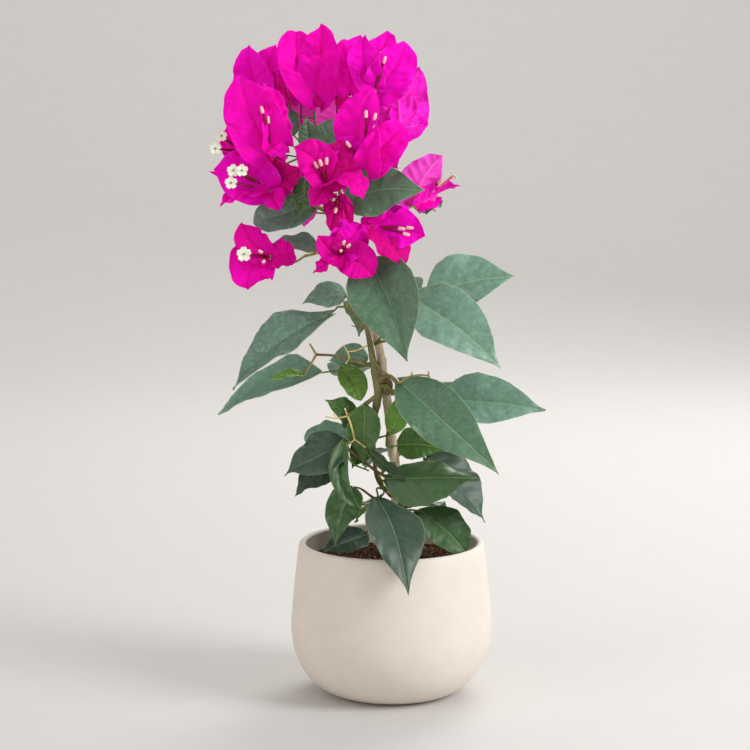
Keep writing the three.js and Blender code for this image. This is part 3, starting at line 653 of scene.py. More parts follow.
def openStar(heap, at, along, size, draw):
    # five broad notched lobes round a small dull eye
    rings, sides = 6, 50
    throat = flowerForm["throat"]
    across = unit(np.cross(along, [0.31, 0.52, 0.8]))
    other = np.cross(along, across)
    angles = np.linspace(0, 2 * math.pi, sides, endpoint=False) + draw.uniform(0, 1)
    lobe = np.abs(np.cos(2.5 * angles))
    outline = 0.6 + 0.4 * lobe ** 0.55 - 0.1 * np.maximum(0, lobe - 0.93) / 0.07
    way = np.linspace(0, 1, rings)[:, None]
    radius = throat + (size * outline[None, :] - throat) * way
    height = 0.175 * size * way ** 2 - 0.35 * np.sin(5 * angles)[None, :] * way ** 2 + 0.25 * (1 - way)
    ring = np.cos(angles)[None, :, None] * across + np.sin(angles)[None, :, None] * other
    front = at + ring * radius[..., None] + along * height[..., None]
    rear = front - along * flowerForm["starThickness"]
    total = rings * sides
    faces = gridFaces(rings, sides, around=True)
    inner = np.arange(sides)
    after = (inner + 1) % sides
    outer = inner + total - sides
    outerAfter = after + total - sides
    star = heap.slotOf("starPetal")
    heap.add(
        np.concatenate([front.reshape(-1, 3), rear.reshape(-1, 3)]),
        (faces[:, ::-1], star), (faces + total, star),
        (np.stack([outer + total, outerAfter + total, outerAfter, outer], axis=1), star),
        (np.stack([after, after + total, inner + total, inner], axis=1), star),
    )
    dome = at + along * 0.2
    tubeMesh(heap, Course([dome - along, dome + along * 0.5]), lambda t: flowerForm["eye"], "eyePetal", 8)


def flower(heap, hub, reach, axis, kind, draw, starRadius=0):
    # a narrow waisted tube that ends in a closed bud or an open star; it leaves along the cluster's axis
    form = flowerForm
    opened = kind != "bud"
    tip = hub + reach
    length = np.linalg.norm(reach)
    towards = unit(reach)
    if kind == "star":
        towards = unit(towards + np.array(form["towardsViewer"]))
    start = hub + reach * max(0, 1 - form["tube"] / length)
    middle = (start + tip) / 2 + unit(axis) * 0.06 * length - towards * 0.05 * length
    course = Course([start, middle, tip - towards * 1.5, tip])

    def radiusAt(t):
        # the belly lies a quarter up, and a bud swells in the last third
        base = form["foot"] + form["belly"] * math.exp(-((t - 0.25) / 0.16) ** 2)
        if opened:
            return base + form["flare"] * t
        return base + (form["bud"] - base) * math.sin(math.pi * min(1, max(0, (t - 0.66) / 0.4))) ** 0.8

    tubeColor = "paleTubePetal" if kind == "paleStar" else "tubePetal"
    endColor, end = ("starPetal", 0.92) if opened else ("budPetal", 0.72)
    tubeMesh(heap, course, radiusAt, lambda t: tubeColor if t < end else endColor, 10, 0.8, ribs=0.1)
    if opened:
        openStar(heap, tip, course.heading(1), starRadius, draw)


# Limbs

trunkForm = {
    "course": [
        (1.8, 0, 85.8), (2.6, 0, 104), (2.8, 0, 122), (2.2, 0, 143), (0, 0, 162), (-2.4, 0, 181),
        (-5, 0, 200), (-8, 0, 218), (-12.6, 0, 233),
    ],
    "foot": 3.3, "tip": 2.5, "flare": 2.4, "flareReach": 0.1, "wood": "bark",
    "knots": [
        # way along, heading, rise, spread
        (0.71, -75, 1.6, 3.4), (0.76, -30, 1.0, 2.4), (0.3, 30, 0.9, 2.6), (0.44, 170, 0.8, 2.4),
        (0.52, -80, 0.7, 1.8), (0.83, -10, 0.7, 2.2), (0.6, -40, 0.6, 1.6),
    ],
}
boughs = [
    # name, grows from, height and heading there or None past its tip, radii along it, wood, path
    (
        "leader", "trunk", None, (2.3, 1.5), "bark",
        [(-19.4, 2, 255), (-23.7, 3, 273), (-27.5, 1, 292), (-29.5, 0, 303)],
    ),
    (
        "low_stem", "trunk", (124, 200), (1.5, 1), "brown",
        [(-8, -4, 134), (-10.5, -6, 146), (-10.8, -6, 157)],
    ),
    (
        "side_stem", "low_stem", None, (1.1, 1.2, 2.4, 2.6, 2.2, 1.8, 1.35, 1.1), "oldOlive",
        [
            (-10.8, -5.4, 172), (-9, -5.4, 183), (-8.2, -5.4, 190), (-9.6, -5.6, 199), (-11.4, -5.8, 209),
            (-13.4, -6, 221), (-15.6, -6.5, 230), (-19, -7.5, 236), (-25, -8.5, 241.5),
        ],
    ),
    (
        "bough_top", "leader", None, (1.3, 0.9), "olive",
        [(-32.5, 1, 315), (-37, 2, 328), (-43, 4, 341), (-46, 3, 351)],
    ),
    ("bough_left", "leader", (291, 190), (1.2, 0.8), "tan", [(-43, -4, 303), (-56, -8, 311)]),
    (
        "bough_right", "leader", (299, 30), (1.2, 0.8), "olive",
        [(-22.5, 7, 311), (-18, 6, 323), (-15, 1, 334)],
    ),
    ("bough_back", "leader", (284, 80), (1.3, 0.9), "olive", [(-26, 13, 300), (-28, 25, 316)]),
    ("bough_low_right", "leader", (284, -35), (1.1, 0.8), "olive", [(-18, -9, 290), (-14, -12, 291.5)]),
    ("bough_low_left", "leader", (275, 195), (1.1, 0.8), "tan", [(-38, -3, 277), (-52, -6, 274)]),
]
barkForm = {
    # shares of the radius, and millimetres along the limb from one node to the next
    "ridge": 0.035, "fineRidge": 0.022, "rough": 0.02, "fineRough": 0.015, "node": 0.09, "nodeSpread": 1.5,
    "firstNode": 17.0, "nodeGap": 15, "nodeDrift": 6,
}
# how deep a limb starts inside the one it grows from
rootDepth = 1.2
limbs = {}


def startBeside(name, height, heading, onward, radius):
    course, radiusAt = limbs[name]
    low, high = 0.0, 1.0
    for i in range(24):
        t = (low + high) / 2
        if course.at(t)[2] < height:
            low = t
        else:
            high = t
    centre = course.at(low)
    out = aimed(heading, 0)
    towards = unit(onward - centre)
    tilt = math.sqrt(max(0, 1 - np.dot(towards, out) ** 2))
    return centre + out * (radiusAt(low) - rootDepth + radius * tilt)


def stemStart(source, where, path, radius):
    if where is None:
        course = limbs[source][0]
        tip, along = course.at(1), course.heading(1)
        return [tip - along * rootDepth, tip + along]
    return [startBeside(source, *where, path[0], radius)]


def limbTube(name, course, radiusAt):
    # a bevelled curve made a closed mesh
    bpy.ops.object.select_all(action="DESELECT")
    bpy.ops.curve.primitive_nurbs_path_add(location=(0, 0, 0))
    limb = bpy.context.object
    limb.name = name + "_wood"
    limb.data.splines.clear()
    spline = limb.data.splines.new("POLY")
    count = max(12, int(course.length / 1.1))
    spline.points.add(count - 1)
    for i, spot in enumerate(spline.points):
        t = i / (count - 1)
        spot.co = (*(course.at(t) * mm), 1)
        spot.radius = radiusAt(t)
    limb.data.dimensions = "3D"
    limb.data.twist_mode = "MINIMUM"
    limb.data.bevel_depth = mm
    limb.data.bevel_resolution = 8 if name in ("trunk", "side_stem") else 3
    limb.data.use_fill_caps = True
    bpy.ops.object.convert(target="MESH")
    bpy.ops.object.mode_set(mode="EDIT")
    bpy.ops.mesh.select_all(action="SELECT")
    bpy.ops.mesh.remove_doubles(threshold=0.00001)
    bpy.ops.mesh.normals_make_consistent(inside=False)
    bpy.ops.object.mode_set(mode="OBJECT")
    return limb


def barkRise(course, radiusAt, t, angle, knots):
    # ridges along the grain, scars, nodes and knots
    form = barkForm
    walked = t * course.length
    wander = 0.5 * np.sin(walked / 7) + 0.35 * np.sin(walked / 2.7 + 1)
    ridges = form["ridge"] * np.sin(5 * angle + wander * 2)
    ridges += form["fineRidge"] * np.sin(9 * angle - wander * 3 + 1)
    rough = form["rough"] * np.sin(walked * 2.1 + 3 * np.sin(angle * 2))
    rough += form["fineRough"] * np.sin(walked * 4.3 + angle * 5)
    swell = np.zeros(len(t))
    node = form["firstNode"]
    while node < course.length:
        swell += form["node"] * np.exp(-((walked - node) / form["nodeSpread"]) ** 2)
        node += form["nodeGap"] + form["nodeDrift"] * math.sin(node)
    grown = np.array([radiusAt(v) for v in t]) * (ridges + rough + swell)
    for place, heading, rise, spread in knots:
        facing = np.maximum(0, np.cos(angle - math.radians(heading))) ** 3
        grown += rise * np.exp(-((walked - place * course.length) / spread) ** 2) * facing
    return grown


def growLimb(name, course, radiusAt, wood, knots=()):
    limbs[name] = (course, radiusAt)
    limb = limbTube(name, course, radiusAt)
    points = np.empty(len(limb.data.vertices) * 3)
    limb.data.vertices.foreach_get("co", points)
    points = points.reshape(-1, 3) / mm
    ways = np.linspace(0, 1, 400)
    spine = course.at(ways)
    nearest = np.argmin(((points[:, None, :] - spine[None]) ** 2).sum(axis=2), axis=1)
    t = ways[nearest]
    out = points - spine[nearest]
    reach = np.linalg.norm(out, axis=1)
    grown = barkRise(course, radiusAt, t, np.arctan2(out[:, 1], out[:, 0]), knots)
    # the middle of an end cap stays where it is
    inside = reach < 0.3 * np.array([radiusAt(v) for v in t])
    points += out * np.where(inside, 0, grown / np.maximum(reach, 0.2))[:, None]
    limb.data.vertices.foreach_set("co", (points * mm).ravel())
    limb.data.update()
    bpy.ops.object.shade_smooth()
    limb.data.materials.clear()
    limb.data.materials.append(finishes[wood + "Wood"])
    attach(limb, "root")
    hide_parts(name)


def growLimbs():
    foot, tip, flare, reach = (trunkForm[key] for key in ("foot", "tip", "flare", "flareReach"))
    growLimb(
        "trunk", Course(trunkForm["course"]),
        lambda t: foot + (tip - foot) * t + flare * max(0, 1 - t / reach) ** 2,
        trunkForm["wood"], trunkForm["knots"],
    )
    for name, source, where, radii, wood, path in boughs:
        path = [np.array(spot, float) for spot in path]
        course = Course([*stemStart(source, where, path, radii[0]), *path])
        growLimb(name, course, lambda t, r=radii: float(np.interp(t, np.linspace(0, 1, len(r)), r)), wood)
    print("limbs grown:", len(limbs))


# Masses of leaves and blossom

def mass(name, source, **own):
    # a mass grows along its path from the limb named source, at where, a height and a heading, or on past
    # the limb's tip; a twig is its places, its wood and, where given, its radius; a dealt cluster is a
    # hub, an axis, a seed and a reach, and takes its bracts from the seed
    return (name, source), own


def leaf(base, aim, size, tone, **own):
    # aim is its heading and pitch, size its length and width; what differs from the usual follows: turn
    # about its midrib, or face, where its upper side looks, arch, fold, twist, bend and the blade's values
    return (base, aim, size, tone), own


def bract(tip, width, face=None, **own):
    # tip is from the hub, face where its inner side looks; a bract without a tone is dealt one. A colour
    # given in place of the dealt one is painted light and leaves the later draws alone: a darker tone
    # paints the crown's shade onto the bract, and the bright tone paints light onto an under-lit one
    return (tip, width, face), own


def cluster(hub, axis, bracts, stars=(), paleStars=(), buds=()):
    # a star is its tip from the hub and its radius, a bud its tip from the hub
    flowers = [("star", *star) for star in stars] + [("paleStar", *star) for star in paleStars]
    return hub, axis, bracts, flowers + [("bud", bud) for bud in buds]


# leaves toned with the two shaded greens carry painted shade
leafMasses = [
    mass("leaf_upper_front", "leader", where=(258, -60), radius=1, path=[(-17, -8, 266)], leaves=[
        leaf((-12.5, -12, 271.5), (-56, -56), (69, 48), "sage", turn=46, arch=16, fold=26, tipCurl=0),
    ]),
    mass("leaves_upper_right", "trunk", where=(219, -150), radius=0.9, path=[
        (-7.2, -6, 221), (0.5, -6, 224), (6, -1, 240), (12, 9, 253),
    ], twigs=[
        (
            [(-9.5, -5, 219), (-8.8, -6.5, 221.5), (-4.2, -7, 226.6), (1, -6, 238), (9, -7, 248)],
            "olive", 0.65,
        ),
    ], leaves=[
        leaf((11, -8, 249.5), (-22, -35), (72, 42), "mist", turn=46, arch=24, fold=12),
        leaf((23, 14, 248.5), (10, 10.5), (55, 38), "mist", turn=64, arch=6, fold=24),
    ]),
    mass("leaves_upper_left", "side_stem", radius=0.9, path=[(-29, -8.5, 243), (-33, -9, 243)], twigs=[
        ([(-14, -8, 230), (-17, -9, 230.5), (-24.4, -9, 231.3)], "brown", 0.4),
    ], leaves=[
        leaf(
            (-37, -12, 239.5), (-157, -34), (77, 35), "blue", turn=-30, arch=20, fold=24, tipCurl=-4,
            twist=0, bend=18, outline=wingedLeaf,
        ),
        leaf((-28.5, 12, 247.5), (186, -10), (27, 20), "mist", face=(-85, 40), ruffle=0.6, bend=40),
    ]),
    mass("leaves_upper_back", "trunk", where=(228, 80), radius=1.2, path=[
        (-14, 9, 240), (-14, 14, 252),
    ], leaves=[
        leaf((-10, 20, 254), (62, -12), (64, 36), "blue"),
        leaf((-17, 20, 244), (94, -30), (58, 28), "deep"),
    ]),
    mass("leaves_middle_left", "trunk", where=(207, 190), radius=1.1, wood="oldOlive", path=[
        (-14.5, -6, 207.3), (-22, -8, 209.2), (-34.7, -8.5, 212.8), (-46, -8, 213.5),
    ], twigs=[
        ([(-46, -8, 213.5), (-50, -8, 220)], "tan"),
        ([(-46, -8, 213.5), (-50, -9, 207), (-53, -10, 202)], "tan"),
        ([(-12, -5, 221.8), (-17.5, -10, 218.1), (-21.8, -10, 216.3), (-26.9, -10, 215.5)], "yellow", 0.6),
        ([(-26.9, -10, 215.5), (-29.5, -10, 219.4)], "yellow", 0.45),
        ([(-26.9, -10, 215.5), (-26.1, -10, 211.6), (-27.8, -10, 208.6)], "yellow", 0.45),
        ([(-13, -5, 206.7), (-24.4, -5, 204.5), (-34.7, -4, 202.8), (-44, -0.6, 201.2)], "green", 0.65),
    ], leaves=[
        leaf((-45, 0, 201), (176, -23), (68, 33), "mist", turn=-42, arch=8, fold=34, outline=taperLeaf),
        leaf((-54, -10, 201.5), (-163, -8), (22, 9), "fresh", turn=-20, fold=14, ruffle=0.4),
    ]),
    mass("leaves_middle_back_left", "trunk", where=(204, 130), radius=1.1, path=[
        (-14, 7, 205), (-22, 10, 206),
    ], leaves=[
        leaf(
            (-31, 10, 203.5), (-45, -48), (26, 17), "fresh", face=(-85, 25), ruffle=0.5, outline=bluntLeaf,
        ),
        leaf((-15, 14, 209), (176, -6), (24, 18), "mist", face=(-85, 25), ruffle=0.5),
        leaf((-18, 18, 203), (100, -22), (60, 34), "blue"),
    ]),
    mass("leaves_middle_right", "side_stem", where=(219, -80), radius=0.85, wood="oldOlive", path=[
        (-12.4, -10.5, 212.9), (-6.4, -11.5, 204.4), (-0.4, -12, 200.6), (4.2, -12, 196.3),
    ], twigs=[
        ([(-9, -6, 198), (-4, -9, 200), (-0.4, -11, 200.2), (3.9, -12, 196)], "oldOlive", 1.6),
        ([(-8, -6, 195), (-3, -9, 194.5), (-0.8, -10, 192.1), (5.6, -9, 190.2)], "olive", 1.1),
        ([(-8, -5, 197), (-2.5, -6, 197), (-1, -6, 193), (-3, -5, 188.5)], "brown", 2.3),
        ([(4.2, -12, 196.3), (12, -12.5, 200.9), (22.3, -12.5, 201), (23.2, -12.5, 196.2)], "tan", 0.65),
        ([(12, -12.5, 200.9), (12.3, -12.5, 203)], "tan", 0.5),
        ([(22.3, -12.5, 201), (22.5, -12.5, 203.4)], "tan", 0.5),
    ], leaves=[
        leaf((5, -12, 197), (-26, -38), (84, 36), "sage", turn=54, arch=20, fold=10),
    ]),
    mass("leaves_middle_back_right", "trunk", where=(188, 20), radius=1.2, path=[
        (6, 3, 188), (17, 8, 190), (26, 10, 192),
    ], leaves=[
        leaf((31, 10, 183), (-7, -5), (65, 37), "mist", turn=62, arch=6, fold=26),
        leaf((12, 14, 192), (52, -24), (62, 34), "blue"),
    ]),
    mass("leaves_fork_left", "trunk", where=(190, 200), radius=1.5, wood="oldOlive", path=[
        (-9, -6, 188), (-17, -7, 182), (-27, -9, 175.5),
    ], twigs=[
        ([(-27, -9, 175.5), (-34, -11, 174.5), (-40, -11, 175.5)], "yellow", 0.55),
        ([(-34, -11, 174.6), (-35.5, -11, 177.5)], "yellow", 0.4),
        ([(-27, -9, 175.5), (-28.6, -10, 180)], "yellow", 0.5),
        ([(-27, -9, 175.5), (-25, -13, 171), (-22.7, -15, 162)], "yellow", 0.65),
        ([(-22.7, -15, 162), (-26.5, -15, 158.5)], "yellow", 0.5),
        ([(-22.7, -15, 162), (-16.6, -15, 157.5)], "yellow", 0.5),
    ], leaves=[
        leaf((-16.4, -9, 182), (-103, -83), (37, 22), "moss", arch=10),
        leaf((-23, 2, 169), (-158, 40), (25, 19), "moss", turn=-62),
    ]),
    mass("leaves_low_left", "trunk", where=(136, 235), radius=1.1, wood="brown", path=[
        (-6, -9, 139), (-15, -12, 146), (-24, -12, 153), (-28.5, -11, 158),
    ], twigs=[
        ([(-28, -12, 156), (-26.6, -15, 151.4), (-23.2, -15, 146.6), (-14, -12, 142)], "green", 0.65),
    ], leaves=[
        leaf((-22, 14, 158.5), (172, -3), (33, 22), "mist", turn=-40, outline=bluntLeaf),
        leaf((-28, -7, 158.5), (-168, -26), (43, 31), "slate", turn=-44, ruffle=2.2),
        leaf((-30, 5, 153), (-165, -43), (42, 26), "dark", turn=-40, ruffle=2.2),
        leaf((-29.5, -14, 160.5), (-42, -68), (46, 15), "deep", turn=52, arch=30, fold=36, bend=56),
        leaf((-15.5, -4, 158.5), (-140, -52), (19, 15), "moss", face=(-90, 20)),
    ]),
    mass("leaf_low_bright", "low_stem", wood="green", path=[(-8.5, -7.5, 161.5), (-2, -8, 163.5)], leaves=[
        leaf((0, -8.5, 165), (32, 67), (29, 15), "fresh", turn=60),
    ]),
    mass("leaves_low_front", "trunk", where=(145, -95), radius=1, path=[
        (-3, -12, 143), (-8, -16, 140),
    ], leaves=[
        leaf((-3.5, -16, 138), (-14, 3), (57, 37), "deep", turn=46, arch=10, fold=-22, bend=14),
        leaf((-15, -14, 157), (-14, -36), (31, 8), "shade", face=(-70, 30), bend=70, outline=bluntLeaf),
        leaf((-5, -12, 128), (-140, -50), (15, 9), "moss", turn=20),
    ]),
    mass("leaves_low_back", "trunk", where=(148, 60), radius=1.1, path=[(8, 9, 151), (10, 14, 154)], twigs=[
        ([(-9.7, -6, 158.9), (-2.9, -5, 155.6), (4.6, -1, 156)], "green", 0.7),
        ([(-10.4, -6, 159.6), (-2.9, -6, 163.7), (-0.9, -6, 165.6)], "olive", 0.8),
    ], leaves=[
        leaf((3.6, 0, 156.5), (-9, -5), (30, 22), "moss", turn=66, arch=14),
        leaf((11, 17, 154), (60, -18), (50, 30), "deep"),
        leaf((2, 16, 150), (112, -22), (54, 32), "blue"),
    ]),
    mass("leaves_foot_right", "trunk", where=(134, 0), radius=1, path=[(14, 2, 138), (26, 5, 145)], leaves=[
        leaf((22, 6, 147), (-17, -46), (54, 38), "slate", turn=26, ruffle=1.6),
    ]),
    mass("leaves_foot_far_right", "trunk", where=(119, -25), radius=1, path=[(12, -2, 117)], twigs=[
        ([(-1.5, -5, 121.9), (6.7, -4, 116.8), (17, -1, 114.8)], "green", 0.8),
    ], leaves=[
        leaf((18, 0, 114.5), (-16, -40), (38, 28), "deep", turn=42, outline=bluntLeaf, quilt=0.4),
        leaf((14, 4, 112), (15, -30), (17, 11), "moss", face=(-90, 30)),
    ]),
    mass("leaves_foot_left", "trunk", where=(117, 190), radius=1, wood="brown", path=[
        (-9, -4, 122), (-18, -6, 129),
    ], twigs=[
        ([(-7, -3.5, 120.5), (-11, -4.5, 110), (-15.5, -4.5, 101)], "brown"),
    ], leaves=[
        leaf((-24, -7, 130.5), (-114, -50), (41, 23), "deep", turn=-10),
        leaf((-10, 3, 119), (157, -45), (20, 11), "fresh", turn=-20),
        leaf((-15.5, -5, 100.5), (-150, -14), (32, 23), "slate", face=(-95, 50), arch=10),
        leaf((-11, -8, 118), (-110, -58), (13, 10), "moss", turn=-10),
    ]),
    mass("leaves_foot_front", "trunk", where=(127, -110), radius=1, path=[(-2, -9, 129)], twigs=[
        ([(-11.1, -11, 138), (-8.8, -14, 131.5), (-8.3, -15, 126.5)], "green", 0.8),
        ([(-1.5, -5, 124), (-2.2, -9, 128), (-2.6, -10, 134)], "yellow", 0.9),
    ], leaves=[
        leaf(
            (-8.5, -15.2, 125.5), (-72, -39), (76, 37), "slate", arch=66, fold=9, bend=18, outline=longLeaf,
        ),
    ]),
    mass("leaves_foot_back", "trunk", where=(110, 90), radius=1, wood="brown", path=[
        (2, 10, 112), (2, 14, 113),
    ], leaves=[
        leaf((-4, 18, 113), (125, -12), (46, 26), "deep"),
        leaf((8, 18, 113), (50, -14), (48, 28), "blue"),
        leaf((5, 9, 120), (20, -4), (14, 8), "fresh"),
    ]),
    mass("crown_leaf_right", "leader", where=(302, -100), wood="green", path=[(-28, -9, 306)], leaves=[
        leaf((-28, -13, 309.5), (-17, 7), (50, 35), "sage", turn=62, arch=14, fold=8, cup=-0.6),
    ]),
    mass("crown_leaves_left", "leader", where=(296, 160), radius=0.9, wood="green", path=[
        (-38, 4, 303),
    ], leaves=[
        leaf((-45, 0, 307), (176, -19), (42, 26), "blue", turn=-62, outline=bluntLeaf),
    ]),
    mass("crown_leaves_top", "bough_top", where=(330, -120), radius=0.7, wood="green", path=[
        (-41, -4, 334),
    ], leaves=[
        leaf((-51, -9, 338), (105, 80), (21, 14), "sage", arch=-10, face=(-70, 25), ruffle=0.5),
        leaf((-44.5, -9, 340), (10, 48), (25, 18), "sage", arch=-10, face=(-80, 35), ruffle=0.5),
        leaf((-60, 4, 347), (140, 66), (21, 12), "sage", face=(-60, 25)),
        leaf((-52, -8, 322), (-120, -72), (26, 15), "deep", face=(-80, 10)),
    ]),
    mass("crown_leaves_back", "bough_back", where=(302, 10), wood="green", path=[(-20, 18, 306)], leaves=[
        leaf((-15, 21, 306), (18, -10), (46, 26), "deep", turn=20),
    ]),
]
